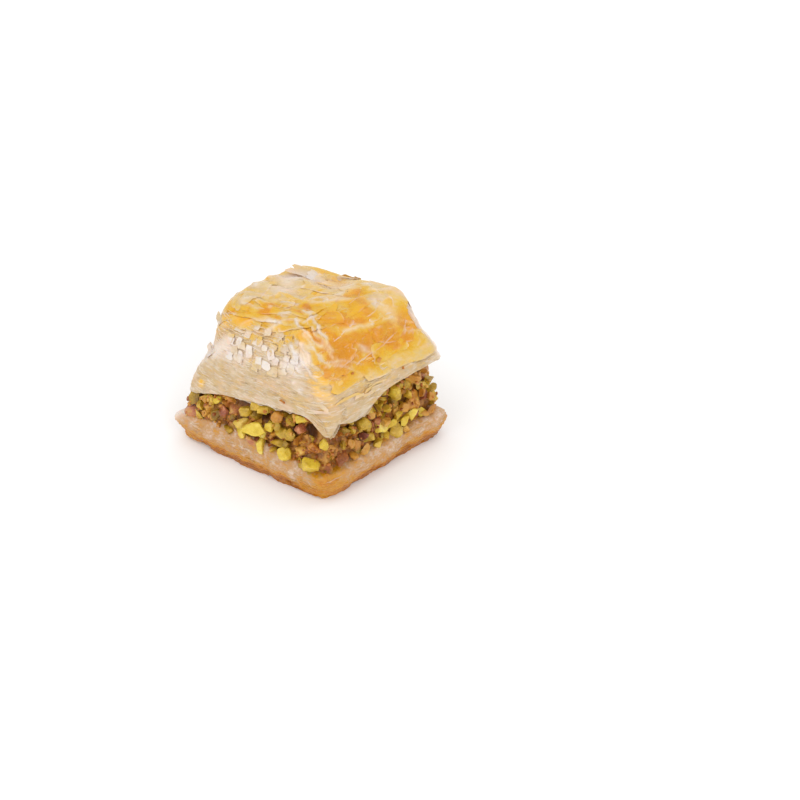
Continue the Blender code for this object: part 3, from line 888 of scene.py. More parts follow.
# Patches and streaks in the sheets: places along each as angle and rise, half width in millimetres, and
# changes of browning, paleness and height in millimetres. First the amber ones, which lie in hollows
STROKES = (
    (((-1.93, 0.97),), 2.8, 0.44, 0.0, -0.10),
    (((-2.09, 0.99), (-1.83, 1.09), (-1.34, 1.03)), 0.50, 0.30, 0.0, -0.20),
    (((-1.85, 0.97), (-1.63, 0.96), (-1.43, 0.97)), 0.55, 0.32, 0.0, -0.15),
    (((-1.40, 1.50), (-1.19, 1.26)), 0.80, 0.45, 0.0, -0.40),
    (((-2.42, 0.87), (-2.06, 0.95)), 0.30, 0.30, 0.0, -0.15),
    (((-2.38, 0.97), (-2.23, 0.98)), 0.70, 0.20, 0.0, 0.0),
    (((2.09, 1.87), (1.68, 1.46)), 0.35, 0.25, 0.0, -0.15),
    (((3.14, 0.99),), 0.80, 0.20, 0.0, 0.0),
    (((0.76, 1.30), (0.42, 0.99), (0.34, 0.94)), 2.2, 0.18, 0.0, 0.0),
    (((-0.17, 0.96), (0.05, 0.92)), 0.60, 0.25, 0.0, -0.10),
    (((0.55, 0.74), (0.58, 0.58), (0.60, 0.39)), 1.5, 0.18, 0.0, -0.10),
    (((-0.54, 0.81), (-0.20, 0.77), (0.09, 0.72)), 1.3, 0.28, 0.0, -0.30),
    (((-0.41, 0.67),), 2.6, 0.28, 0.0, 0.0),
    (((-0.69, 0.77), (-0.56, 0.62)), 1.4, 0.18, 0.0, -0.10),
    (((0.38, 0.52),), 0.90, 0.30, 0.0, 0.0),
    (((-1.08, 0.93), (-0.91, 0.89)), 0.35, 0.35, 0.0, -0.20),
    (((-1.22, 0.97), (-0.94, 0.94), (-0.74, 0.87)), 0.45, 0.35, 0.0, -0.25),
    (((-0.84, 0.90), (-0.66, 0.82)), 0.45, 0.30, 0.0, -0.20),
    (((-0.52, 0.89), (-0.52, 0.83)), 0.35, 0.30, 0.0, -0.20),
    (((1.24, 0.97), (0.87, 0.92)), 0.30, 0.30, 0.0, -0.10),
    (((-2.24, 0.07),), 1.5, 0.45, 0.0, 0.0),
    (((-1.37, 0.70), (-1.12, 0.70)), 0.90, 0.25, 0.0, -0.10),
    (((-1.71, 0.64), (-1.74, 0.51)), 0.30, 0.30, 0.0, -0.15),
    (((-0.76, 0.12),), 5.0, 0.12, 0.0, 0.0),
    (((-1.15, 0.18), (-0.85, 0.30)), 4.0, 0.04, 0.0, 0.0),
    (((2.05, 1.00), (1.85, 1.20)), 3.5, 0.0, 0.0, -2.20),
    (((2.80, 1.00), (2.30, 1.00), (1.50, 1.00)), 4.0, 0.0, 0.0, -0.70),
    (((0.97, 0.74),), 3.0, 0.0, 0.0, -0.60),
    (((-2.46, 0.26),), 4.0, 0.0, 0.0, -0.90),
    # The pale ones, which mostly stand up
    (((-2.05, 1.30), (-1.75, 1.45)), 0.50, -0.25, 0.6, 0.15),
    (((-0.23, 0.89), (0.08, 0.86), (0.24, 0.82)), 0.70, -0.30, 0.7, 0.35),
    (((0.24, 0.82), (0.52, 0.78)), 0.35, -0.15, 0.4, 0.25),
    (((-1.14, 0.98), (-0.91, 1.14)), 0.45, -0.30, 0.7, 0.25),
    (((-1.38, 0.98), (-1.01, 0.93), (-0.74, 0.84)), 0.42, -0.36, 1.0, 0.30),
    (((-1.09, 1.00), (-0.88, 0.98), (-0.68, 0.90)), 0.45, -0.36, 1.1, 0.35),
    (((-0.85, 0.97), (-0.72, 0.92), (-0.60, 0.76)), 0.50, -0.30, 0.8, 0.30),
    (((-1.38, 1.13), (-1.12, 1.09)), 0.55, -0.35, 1.0, 0.20),
    (((-1.18, 0.72), (-0.95, 0.76)), 2.0, -0.20, 0.6, 0.0),
    (((-1.14, 0.60), (-0.92, 0.58)), 2.0, -0.18, 0.5, 0.0),
    (((-1.03, 0.84), (-0.85, 0.81)), 0.70, -0.25, 0.5, 0.15),
    (((-0.37, 0.95), (-0.39, 0.85)), 0.50, -0.20, 0.3, 0.15),
    (((2.53, 1.07), (2.00, 1.15), (1.50, 1.23)), 3.6, -0.32, 1.0, 0.0),
    (((3.00, 1.40),), 4.5, -0.18, 0.50, 0.0),
    (((-1.76, 0.98), (-1.64, 0.99)), 0.60, -0.35, 0.4, 0.10),
    (((-1.77, 0.94), (-1.61, 0.94)), 0.60, -0.30, 0.4, 0.10),
    (((0.52, 0.97), (0.52, 0.77)), 2.4, -0.34, 0.6, 0.0),
    (((0.84, 0.87), (0.80, 0.45), (0.78, 0.05)), 1.3, -0.35, 0.5, 0.10),
    (((-0.15, 0.66),), 0.55, -0.30, 0.5, 0.20),
    (((-0.07, 0.54),), 0.55, -0.30, 0.5, 0.20),
    (((-0.54, 0.66),), 0.55, -0.30, 0.5, 0.20),
    (((-1.22, 0.57), (-0.87, 0.68)), 1.6, -0.16, 0.5, 0.30),
    (((-2.48, 0.34), (-2.13, 0.59)), 3.4, -0.22, 0.85, 0.0),
    (((-0.98, 0.32),), 0.80, -0.12, 0.3, 0.15),
    (((-1.02, 0.46), (-0.86, 0.24)), 2.8, -0.06, 0.20, 0.0),
    (((-0.64, 0.34), (-0.60, 0.22)), 3.0, -0.12, 0.20, 0.0),
    (((-2.64, 0.80),), 1.4, -0.30, 0.6, 0.0),
    (((-1.05, 0.41),), 0.60, -0.15, 0.4, 0.15),
    (((-0.86, 0.76),), 4.0, -0.06, 0.0, 0.0),
)
# The strands that fan over the near shoulder, between these first and last ones
STRANDS = 9
FIRST_STRAND = np.array(((-1.24, 0.80), (-1.02, 0.66), (-0.84, 0.44)))
LAST_STRAND = np.array(((-0.94, 0.99), (-0.72, 0.93), (-0.56, 0.72)))

# White chips of sheet on the front: place, turn, and width and height
CHIPS = (
    ((-1.89, 0.78), 0.0, (1.7, 1.6)),
    ((-1.72, 0.74), 0.0, (2.4, 1.7)),
    ((-1.67, 0.86), 0.1, (1.9, 1.7)),
    ((-1.48, 0.85), -0.4, (2.1, 2.4)),
    ((-1.78, 0.62), 0.1, (1.8, 2.8)),
    ((-1.87, 0.53), 0.0, (1.4, 2.8)),
    ((-1.62, 0.55), 0.1, (1.8, 1.8)),
    ((-1.49, 0.52), -0.1, (2.8, 1.8)),
    ((-1.46, 0.66), 0.5, (1.9, 2.4)),
    ((-1.84, 0.87), 0.0, (1.5, 1.1)),
    ((-2.02, 0.50), 0.0, (2.4, 1.8)),
    ((-2.06, 0.66), 0.1, (2.0, 1.6)),
    ((-1.26, 0.76), -0.3, (2.0, 1.6)),
    ((-1.95, 0.70), -0.1, (1.6, 1.4)),
    ((-1.60, 0.70), 0.1, (1.5, 1.3)),
    ((-1.34, 0.60), -0.2, (1.6, 1.6)),
)
# Changes of the ground round a chip, and its half width as a share of the chip's size
CHIP_GROUND = (-0.14, 0.40, 0.0)
CHIP_GROUND_WIDTH = 0.75
# Half width of the strands in millimetres, and the changes by the amber ones and the white ones between them
STRAND_WIDTH = 0.42
STRAND_CHANGES = ((0.16, 0.0, 0.35), (-0.26, 0.65, 0.35))


def stroke_path(places):
    """Points over the mound along places that are angles and rises."""
    places = np.array(places)
    fine = np.linspace(0, len(places) - 1, 4 * len(places) - 3)
    return surface(*(np.interp(fine, np.arange(len(places)), part) for part in places.T))


def laid_strokes():
    """For every stroke, the ground of every chip and every strand: its path, half width and changes."""
    rows = [*STROKES, *(((place,), CHIP_GROUND_WIDTH * max(size), *CHIP_GROUND) for place, _, size in CHIPS)]
    for number in range(STRANDS):
        places = mix(FIRST_STRAND, LAST_STRAND, number / (STRANDS - 1))
        rows.append((places, STRAND_WIDTH, *STRAND_CHANGES[number % 2]))
    return [(stroke_path(places), width * MM, np.array(changes)) for places, width, *changes in rows]


LAID_STROKES = laid_strokes()


def strokes(points):
    """Changes of browning, paleness and height by all patches, streaks and strands."""
    wavy = (points + (0.4 * MM * noise_at(points, 61, 0.4))[..., None]).reshape(-1, 3)
    total = np.zeros((3, len(wavy)))
    for path, width, changes in LAID_STROKES:
        middle = path.mean(axis=0)
        reach = np.linalg.norm(path - middle, axis=1).max() + 2.5 * width
        near = np.flatnonzero(np.linalg.norm(wavy - middle, axis=1) < reach)
        close = wavy[near]
        away = np.linalg.norm(close - path[0], axis=1)
        for start, end in zip(path, path[1:]):
            along = end - start
            share = np.clip((close - start) @ along / (along @ along), 0, 1)
            away = np.minimum(away, np.linalg.norm(close - start - share[:, None] * along, axis=1))
        total[:, near] += bell(away, 0, width) * changes[:, None]
    return total.reshape(3, *points.shape[:-1])


def rise_of(points):
    """Share of the mound's rise at each point."""
    low, high = interface_height(points), crown_height(points)
    return np.clip((points[..., 2] - low) / (high - low), 0, 1)


def by_side(angle, reach, values):
    """A blend of what the four sides have, where a side fades out at a cosine of reach from its direction."""
    weights = [step(reach, 0.95, np.cos(angle - side)) + 1e-6 for side in SIDES]
    return sum(weight * value for weight, value in zip(weights, values)) / sum(weights)


def top_toast(points):
    """Browning of the sheets: each side's own, changed by the strokes."""
    rise = rise_of(points)
    sides = [np.interp(rise, TOAST_RISES, values) for values in SIDE_TOAST]
    return by_side(round_angle(points), 0.45, sides) + strokes(points)[0]


def top_core():
    """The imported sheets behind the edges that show, and under the loose ones of the crown."""
    piece = Piece()
    out = mix(0.08, 0.04, step(0.35, 0.5, CORE_RISES)) * MM
    points = surface(even_angles(CORE_COLUMNS), CORE_RISES, out)
    points[..., 2] -= hanging(round_angle(points), CORE_RISES)
    _, whitened, raised = strokes(points)
    side = 0.25 * noise_at(points, 41, (0.5, 0.5, 1.6)) + raised
    up = mix(side, folds(points)[0] - 0.2, step(0.45, 0.75, CORE_RISES))
    points = points + grid_normals(points) * (up * MM)[..., None]
    under = points[:1] * (0.9, 0.9, 1)
    under[..., 2] = interface_height(under)
    points = np.concatenate([under, points])
    toast = top_toast(points) + 0.08 * step(0.35, 0.5, rise_of(points))
    toast = toast + 0.10 * noise_at(points, 43, (0.3, 0.3, 1.5))
    pale = 0.7 * np.clip(whitened, 0, 1)
    piece.add(*solid(points), toast=toast, pale=np.concatenate([pale[:1], pale]), wet=0.5)
    piece.build("top_core", "crisp_sheets", 60)


# Section of a sheet at the sides, from its root to its lip and back: millimetres out, side of its thickness,
# shares of its curl and of the rim's hang, and then browning, paleness and share of the strokes' white
SHEET_SECTION = np.array((
    (-3.00, 0.5, 0.0, 0.5, 0.1, 0.0, 0.0),
    (-3.00, -0.5, 0.0, 0.5, 0.1, 0.0, 0.0),
    (-0.80, -0.5, 0.3, 0.9, 0.1, 0.1, 0.3),
    (0.00, -0.2, 1.0, 1.0, 0.0, 0.7, 0.7),
    (-0.05, 0.4, 1.0, 1.0, 0.0, 0.8, 0.7),
    (-0.80, 0.5, 0.3, 0.9, 0.1, 0.2, 0.5),
))


def rim_hang(angle, rise, in_plan, own):
    """How far a sheet hangs over the filling: with the mound's wall, and the lowest sheets unevenly more."""
    hang = hanging(angle, rise) * (1 + 0.28 * noise(own * 0.6) + 0.12 * noise(own * 1.6))
    uneven = 0.25 + 0.9 * noise_at(in_plan, 8, 0.28) + 0.35 * noise(own * 0.8)
    return hang + step(0.08, 0.0, rise) * uneven * MM


def lip_pale(angle, rise, own, share):
    """Paleness of a lip: in patches, more at the rim, less on the right side and the near shoulder."""
    pale = share * np.clip(0.10 + 1.5 * noise(own * (0.16, 0.16, 1)), 0, 1)
    pale = np.clip(pale * 0.8 + 0.6 * step(0.06, 0.0, rise) * np.clip(0.5 + noise(own * 0.1), 0, 1), 0, 1)
    pale = pale * mix(1.0, 0.45, step(0.2, 0.9, np.cos(angle - RIGHT)))
    return pale * (1 - 0.6 * bell(angle, -0.85, 0.30))


def side_sheets(name, material, rises, first):
    """Thin sheets with torn lips, seen edge on all round the mound."""
    piece = Piece()
    angle = even_angles(SIDE_COLUMNS)
    out, side, curled, hung, browned, share, streaked = SHEET_SECTION.T[..., None]
    for number, rise in enumerate(rises, first):
        in_plan = mound(angle, rise) * (1, 1, 0)
        shared, own = shifted(in_plan, 0) * 0.11 + (0, 0, rise * 6), shifted(in_plan, number + 50)
        level = rise + 0.020 * noise(shared) + 0.014 * noise(own * 0.20)
        level = np.clip(level, 0.0, 0.94)
        loose = step(0.30, 0.60, rise) * (0.6 + 0.4 * step(0.0, 1.0, np.cos(angle - FRONT)))
        broad = noise(shifted(in_plan, 1) * 0.22 + (0, 0, rise * 9))
        lip = 0.06 + 0.12 * broad + mix(0.14, 0.18, loose) * noise(own * 0.22)
        lip = np.clip(lip + mix(0.08, 0.14, loose) * noise(own * 0.8), -0.4, 0.45)
        lip = lip * (1 - 0.7 * sag(angle) / HANG)
        _, whitened, raised = strokes(mound(angle, level))
        rings = mound(angle, level, (out + (lip + raised) * step(-3.0, -0.6, out)) * MM)
        curl = mix(0.08, 0.18, loose) * (0.3 + noise(own * 0.3)) + 0.06 * noise(own * 1.2)
        up = (side * mix(0.16, 0.13, loose) + curled * curl) * MM
        rings[..., 2] += up - hung * rim_hang(angle, rise, in_plan, own)
        toast = top_toast(rings) + 0.20 * noise(own * 0.18) + 0.10 * noise(own * 0.9)
        toast = toast + browned * mix(0.5, 1.5, loose)
        pale = np.maximum(lip_pale(angle, rise, own, share), streaked * np.clip(whitened, 0, 1))
        piece.add(*hoop(rings), toast=toast, pale=pale)
    piece.build(name, material)


# Blisters in the sheets: place as angle and rise, radius and height in millimetres
BLISTERS = (
    ((0.358, 0.512), 2.2, -0.5),
    ((0.297, 0.674), 1.8, 0.5),
    ((0.120, 0.560), 1.6, 0.4),
    ((0.500, 0.600), 1.7, 0.4),
    ((-0.300, 0.520), 1.5, 0.4),
    ((0.600, 0.400), 2.0, 0.4),
    ((0.150, 1.000), 1.6, 0.3),
    ((-1.900, 1.100), 2.0, 0.4),
    ((1.900, 0.600), 2.0, 0.4),
    ((2.900, 0.700), 2.2, 0.4),
)


def folds(points):
    """Height in millimetres of the sheets' folds, creases and blisters, and 1 on the folds' crests."""
    c, s = math.cos(CREASES), math.sin(CREASES)
    place = shifted(points, 0)
    x, y, z = np.moveaxis(place, -1, 0)
    along = x * c + y * s + 2.5 * noise(place * 0.08)
    across = y * c - x * s + z + 2.0 * noise(place * 0.11 + 5)

    def creased(length, width, spot=0):
        return noise(np.stack([along * length, across * width, 0 * along + spot], axis=-1))

    crests = np.maximum(1 - 5 * np.abs(creased(0.06, 0.16, 3)), 0)
    crests = crests * step(-0.3, 0.3, noise(place * 0.12 + 31))
    _, streaked, raised = strokes(points)
    height = 0.60 * creased(0.05, 0.13) + 0.30 * crests + 0.10 * creased(0.25, 0.8) + raised
    crests = np.maximum(crests, np.clip(streaked, 0, 1) ** 0.5)
    for centre, radius, raised in BLISTERS:
        away = np.linalg.norm(points - surface(*centre), axis=-1) / (radius * MM)
        away = away * (1 + 0.5 * noise(place * 0.25 + radius))
        height = height + raised * step(1.3, 0.6, away)
        rim = bell(away, 1, 0.2) * step(-0.2, 0.5, noise(place * 0.3 + 9))
        crests = np.maximum(crests, 0.9 * rim)
    return height, crests


def folded_toast(points, height, seed):
    """Browning of a folded sheet: pale where it stands off the sheets under it, and amber in the hollows."""
    uneven = 0.12 * noise_at(points, seed, (0.10, 0.16, 0.16))
    return top_toast(points) + 0.12 - 0.26 * np.clip(height - 0.2, -0.7, 0.8) + uneven


# Whole sheets over the crown: the rises where each is torn off at the right, back, left and front, and
# how far it lies off the mound in millimetres
COVERS = (
    ((0.32, 0.52, 0.64, 0.88), 0.15),
    ((0.84, 0.88, 0.90, 1.02), 0.34),
)
COVER_END = 1.985
COVER_ROWS, COVER_COLUMNS = 76, 370
# Rows of a cover that its hidden inside repeats, and how deep the inside lies there
COVER_INSIDE = np.array((70, 60, 50, 40, 30, 20, 12, 6, 2, 1, 0))
COVER_DEPTHS = np.where(COVER_INSIDE > 4, 0.4, 0.08)[:, None, None] * MM


def crown_covers():
    piece = Piece()
    angle = even_angles(COVER_COLUMNS)
    share = np.linspace(0, 1, COVER_ROWS)[:, None]
    for number, (lowest, lift) in enumerate(COVERS, 90):
        place = shifted(cut(angle), number)
        start = by_side(angle, 0.3, lowest)
        start = start + 0.09 * noise(place * 0.10) + 0.020 * noise(place * 0.5) + 0.008 * noise(place * 1.6)
        rise = start + (COVER_END - start) * share**1.15
        points = surface(angle, rise)
        normals = grid_normals(points)
        height, crests = folds(points)
        loose = noise(place * 0.25)
        laid = lift * mix(0.55, 1.0, step(0.0, 0.10, share))
        own = 0.10 * noise_at(points, number, 0.3)
        up = laid + (height + own) * step(1.98, 1.8, rise) + step(0.06, 0.0, share) * (0.01 + 0.06 * loose)
        points = points + normals * (up * MM)[..., None]
        toast = folded_toast(points, height, number)
        pale = np.maximum(0.5 * step(0.035, 0.0, share) * (0.5 + 0.5 * loose), 0.5 * crests**2)
        toast, pale = (np.concatenate([value, value[COVER_INSIDE]]) for value in (toast, pale))
        inside = points[COVER_INSIDE] - normals[COVER_INSIDE] * COVER_DEPTHS
        piece.add(*hoop(np.concatenate([points, inside])), toast=toast, pale=pale, wet=0.6)
    piece.build("top_crown_covers", "golden_sheets")


def grid_normals(points):
    """Normals of a grid whose columns run round the piece, pointing out of it."""
    aside = np.roll(points, -1, axis=1) - np.roll(points, 1, axis=1)
    return unit(np.cross(aside, np.gradient(points, axis=0)))


def mound_tree():
    """The mound's surface, to lay sheets on."""
    points = surface(even_angles(MOUND_COLUMNS), MOUND_RISES)
    index = wrapped(np.arange(points.size // 3).reshape(points.shape[:2]))
    return BVHTree.FromPolygons(points.reshape(-1, 3).tolist(), grid_faces(index) + [index[-1, :-1].tolist()])


MOUND = mound_tree()
MOUND_HEART = np.array((-1.0, 2.0, 27.0)) * MM
OUTSIDE = 100 * MM


def laid_on_mound(points):
    """The points moved along lines through the mound's heart onto its surface, and the normals there."""
    found, normals = np.empty_like(points), np.empty_like(points)
    for place in np.ndindex(points.shape[:-1]):
        ray = unit(points[place] - MOUND_HEART)
        hit, normal, _, _ = MOUND.ray_cast(Vector(MOUND_HEART + ray * OUTSIDE), Vector(-ray))
        found[place] = hit
        normals[place] = normal if normal.dot(Vector(ray)) > 0 else -normal
    return found, normals


def ways_over(angle, rise):
    """Short ways over the mound at these places: along the sheets, and up."""
    aside = surface(angle + 0.02, rise) - surface(angle - 0.02, rise)
    return aside, surface(angle, rise + 0.01) - surface(angle, rise - 0.01)


def local_frame(angle, rise):
    """A point of the mound with the directions along the sheets, up over the mound, and out of it."""
    aside, upwards = (unit(way) for way in ways_over(angle, rise))
    normal = unit(np.cross(aside, upwards))
    return surface(angle, rise), aside, np.cross(normal, aside), normal


def mean_half(size):
    return (size[0] + size[1]) / 4


def torn_grid(seed, size, power, tear):
    """Places over a torn sheet: from -1 to 1 along and across, how near the border, and their direction."""
    u, v = np.meshgrid(*(np.linspace(-1, 1, max(8, round(side / SPACING))) for side in size))
    radius = np.maximum(np.maximum(np.abs(u), np.abs(v)), 1e-6)
    direction = np.stack([u / radius, v / radius, 0 * u], axis=-1)
    corner = np.maximum((np.abs(direction[..., :2]) ** power).sum(axis=-1), 1) ** (-1 / power)
    torn = noise(direction * 1.2 + seed * 5.1) + 0.45 * noise(direction * 3.1 + seed * 1.7)
    torn += 0.10 * noise(direction * mean_half(size) * 1.6 + seed * 3.3)
    border = corner * (1 + tear * torn)
    return u * border, v * border, radius, direction


def torn_sheet(piece, seed, place, turn, size, lift, peel, toast, pale=0.6, power=9, tear=0.2, fading=0.0):
    """A torn sheet laid on the mound, in millimetres. Its far end, along its length, peels off by peel."""
    point, aside, upwards, normal = local_frame(*place)
    along = aside * math.cos(turn) + upwards * math.sin(turn)
    across = np.cross(normal, along)
    u, v, radius, direction = torn_grid(seed, size, power, tear)
    flat = point + u[..., None] * along * size[0] / 2 * MM + v[..., None] * across * size[1] / 2 * MM
    points, normals = laid_on_mound(flat)
    edge = step(0.80, 1.0, radius)
    height, crests = folds(points)
    height = height + 0.12 * noise_at(points, seed, 0.3)
    curl = 0.16 * min(1, mean_half(size) / 3) * noise(direction * 1.7 + seed * 2.7)
    off = lift + height + peel * np.clip((u + 0.35) / 1.35, 0, 1) ** 2 + edge * curl
    tone = folded_toast(points, height, seed) + toast * (1 - fading * edge)
    whiter = pale * step(0.88, 1.0, radius) * step(-0.2, 0.6, noise(direction * 1.6 + seed))
    whiter = np.maximum(whiter, 0.45 * crests**2)
    points = points + normals * (off * MM)[..., None]
    piece.add(*plate(points, normals, SHEET_THICKNESS), toast=tone, pale=whiter, wet=0.7)


# Large torn sheets: place as angle and rise, turn, length and width, lift, peel and change of browning
CROWN_SHEETS = (
    ((-2.30, 1.22), 0.1, (34, 17), 0.38, 0.0, -0.12),
    ((2.50, 1.25), 0.4, (28, 17), 0.42, 0.0, -0.14),
    ((0.40, 1.12), -0.2, (27, 17), 0.42, 0.1, 0.04),
    ((1.50, 1.22), 0.1, (26, 13), 0.50, 0.1, -0.16),
    ((-0.95, 1.20), 0.5, (22, 11), 0.42, 0.0, 0.04),
    ((-1.75, 1.03), 0.1, (30, 6), 0.40, 0.0, 0.06),
    ((0.60, 0.93), -0.2, (14, 8), 0.50, 0.3, -0.16),
)
SIDE_FLAPS = (
    ((0.12, 0.72), 0.18, (30, 9), 0.40, 0.4, 0.05),
    ((-0.05, 0.52), 0.10, (30, 9), 0.30, 0.4, 0.08),
    ((0.35, 0.36), -0.1, (26, 9), 0.25, 0.4, -0.02),
    ((2.95, 0.60), 0.1, (20, 8), 0.30, 0.3, 0.0),
    ((2.70, 0.35), -0.1, (22, 7), 0.30, 0.5, -0.04),
    ((2.00, 0.62), 0.1, (24, 8), 0.35, 0.5, 0.0),
    ((1.50, 0.40), -0.1, (26, 8), 0.35, 0.5, -0.04),
    # This flap is painted paler than its neighbours: painted light on its shaded side
    ((1.10, 0.66), 0.1, (18, 8), 0.30, 0.0, -0.40),
)
# Thin flakes that stand off at the skyline and the corners, with the same values
THIN_FLAKES = (
    ((2.26, 1.00), 0.05, (12, 5.0), 0.5, 1.7, -0.12),
    # These two skyline flakes are painted pale: partly their own whiteness, partly painted light against the
    # shade they stand in
    ((2.12, 1.05), 0.00, (9, 4.0), 0.4, 0.6, -0.50),
    ((1.70, 0.98), 0.10, (9, 3.6), 0.3, 0.2, -0.50),
    ((1.00, 0.79), 1.3, (7, 4.0), 0.5, 0.1, -0.25),
    ((-2.42, 0.40), 3.1, (4.8, 3.0), 0.2, 1.8, -0.30),
    ((-2.46, 0.76), 3.0, (3.8, 2.0), 0.2, 1.3, -0.30),
    ((2.75, 0.60), 0.4, (8, 4.0), 0.4, 1.6, -0.15),
    ((1.10, 0.45), 0.3, (8, 4.0), 0.4, 1.4, -0.15),
    ((2.10, 0.30), 0.2, (7, 3.6), 0.4, 1.4, -0.15),
)


def torn_sheets(name, material, sheets, first, **settings):
    piece = Piece()
    for seed, sheet in enumerate(sheets, first):
        torn_sheet(piece, seed, *sheet, **settings)
    piece.build(name, material)


# How much larger a chip is than its place in CHIPS shows, along and across
CHIP_GROWTH = (1.35, 1.25)
# Cream and golden bits among them: how many, their angles and rises, and lengths and widths in millimetres
CREAM_BITS = (30, (-2.10, -1.05), (0.46, 0.90), (1.8, 4.2), (1.4, 2.8))


def chips():
    rng = np.random.default_rng(44)
    piece = Piece()
    for seed, (place, turn, size) in enumerate(CHIPS, 400):
        size = [side * growth for side, growth in zip(size, CHIP_GROWTH)]
        torn_sheet(piece, seed, place, turn, size, 0.15, 0.15, -0.30, power=8, tear=0.16, fading=0.3)
    count, angles, rises, lengths, widths = CREAM_BITS
    for seed in range(500, 500 + count):
        place, size = drawn(rng, angles, rises), drawn(rng, lengths, widths)
        turn, lift, toast = rng.normal(0, 0.2), rng.uniform(0.04, 0.12), rng.uniform(-0.14, 0.14)
        torn_sheet(piece, seed, place, turn, size, lift, 0.2, toast, 0.3, power=6, tear=0.25, fading=0.7)
    piece.build("top_front_chips", "dry_sheets")


# Smaller torn sheets: how many, their angles, rises, lengths and widths in millimetres
SCATTERED_SHEETS = (
    (7, (-2.35, -0.95), (0.98, 1.35), (9, 18), (4, 7)),
    (7, (-0.80, 0.70), (0.75, 1.30), (9, 18), (4, 8)),
    (4, (-0.60, 0.70), (0.30, 0.72), (9, 16), (3.5, 6)),
    (9, (1.10, 2.35), (0.30, 1.15), (8, 15), (3.5, 6)),
    (9, (2.35, 3.55), (0.30, 1.20), (8, 15), (3.5, 6)),
)


def scattered_sheets():
    rng = np.random.default_rng(12)
    piece, seed = Piece(), 300
    for count, angles, rises, lengths, widths in SCATTERED_SHEETS:
        for _ in range(count):
            seed += 1
            place = drawn(rng, angles, rises)
            turn, toast = rng.normal(0, 0.25), rng.normal(0, 0.09)
            size = drawn(rng, lengths, widths)
            lift, peel = drawn(rng, (0.40, 0.60), (0, 0.3))
            torn_sheet(piece, seed, place, turn, size, lift, peel, toast, 0.4)
    piece.build("top_torn_bits", "golden_sheets")


FLAKE_ROWS = 5
FLAKE_COLUMN = 0.5 * MM


def curved(slopes, length):
    """Distances out of the mound and up it along a line of this length, by its slope at each point."""
    ways = np.cos(slopes[:-1]), np.sin(slopes[:-1])
    return (np.concatenate([[[0]], np.cumsum(way, axis=0)]) * length / (len(slopes) - 1) for way in ways)


def flake(piece, rng, place, size, start, end, twist, toast, pale):
    """A small broken piece of sheet, rooted in the mound, that curls from one slope to another in degrees."""
    point, aside, upwards, normal = local_frame(*place)
    width, length = np.array(size) * MM
    c, s = math.cos(twist), math.sin(twist)
    aside, upwards = aside * c + upwards * s, upwards * c - aside * s
    share = np.linspace(0, 1, FLAKE_ROWS)[:, None]
    slope = np.radians(mix(start, end, share))
    out, up = curved(slope, length)
    x = np.linspace(-0.5, 0.5, max(4, round(width / FLAKE_COLUMN) + 1)) * width
    ragged = 0.12 * noise(np.stack([x / MM * 1.4, 0 * x, 0 * x], -1) + rng.uniform(0, 99, 3))
    bow = rng.uniform(-0.22, 0.05) * width * (x / width * 2) ** 2
    reach = 1 + ragged * share * 2
    narrowing = 1 - rng.uniform(-0.15, 0.35) * share
    points = (
        point - normal * 0.05 * MM
        + (x * narrowing)[..., None] * aside
        + (out * reach)[..., None] * normal
        + (up * reach)[..., None] * upwards
    )
    normals = -np.sin(slope)[..., None] * normal + np.cos(slope)[..., None] * upwards
    points = points + normals * bow[:, None]
    whiter = pale * mix(0.6, 1.0, share)
    piece.add(*plate(points, normals, SHEET_THICKNESS), toast=toast, pale=whiter)


# Broken bits of sheet on the cut sides: how many, their angles, rises, browning and how pale their edges are
FLAKE_ZONES = (
    (44, (1.15, 2.30), (0.20, 0.92), (0.15, 0.60), 0.4),
    (40, (2.45, 3.15), (0.20, 0.85), (0.15, 0.60), 0.4),
)


def small_flakes():
    rng = np.random.default_rng(5)
    piece = Piece()
    for count, angles, rises, toasts, pale in FLAKE_ZONES:
        for _ in range(count):
            place, size = drawn(rng, angles, rises), drawn(rng, (1.6, 3.0), (1.3, 2.2))
            start, end = drawn(rng, (66, 80), (86, 100))
            toast, twist = rng.uniform(*toasts), rng.normal(0, 0.22)
            flake(piece, rng, place, size, start, end, twist, toast, pale * rng.uniform(0.5, 1))
    piece.build("top_small_flakes", "loose_flakes", 50)


RIBBON_THICKNESS = 0.10 * MM
RIBBON_ROWS = 4


def ribbon(piece, seed, start, end, bow, height, slope, toast, pale):
    """A sheet's torn edge that stands off the mound along a bowed line between two places.

    A place is an angle and a rise, and the height is in millimetres. The slope is in degrees: straight out
    at 0, and up against the mound at 90.
    """
    ends = surface(*np.transpose([start, end]))
    length = np.linalg.norm(ends[1] - ends[0])
    t = np.linspace(0, 1, max(6, round(length / (SPACING * MM))))
    place = np.stack([t * length / MM, 0 * t + seed * 3.7, 0 * t], axis=-1)
    angle, rise = (mix(first, last, t) for first, last in zip(start, end))
    rise = rise + bow * 4 * t * (1 - t) + 0.012 * noise(place * 0.3)
    points = surface(angle, rise)
    along = unit(np.gradient(points, axis=0))
    aside, upwards = ways_over(angle, rise)
    normal = unit(np.cross(aside, upwards))
    across = unit(np.cross(normal, along))
    across = across * np.sign(np.sum(across * upwards, axis=-1, keepdims=True))
    share = np.linspace(0, 1, RIBBON_ROWS)[:, None]
    lean = np.radians(slope + 25 * share + 18 * noise(place * 0.25 + 40))
    c, s = np.cos(lean)[..., None], np.sin(lean)[..., None]
    ragged = 1 + 0.30 * noise(place * 0.4 + 9) + 0.16 * noise(place * 1.3 + 5)
    reach = (height * MM * share * (step(0, 0.12, t) * step(1, 0.88, t) * ragged))[..., None]
    sheet = points - normal * 0.1 * MM + reach * c * normal + reach * s * across
    facing = unit(across * c - normal * s)
    tone = toast + 0.08 * noise(place * 0.3 + 77)
    piece.add(*plate(sheet, facing, RIBBON_THICKNESS), toast=tone, pale=pale * (0.3 + 0.7 * share), wet=0.3)


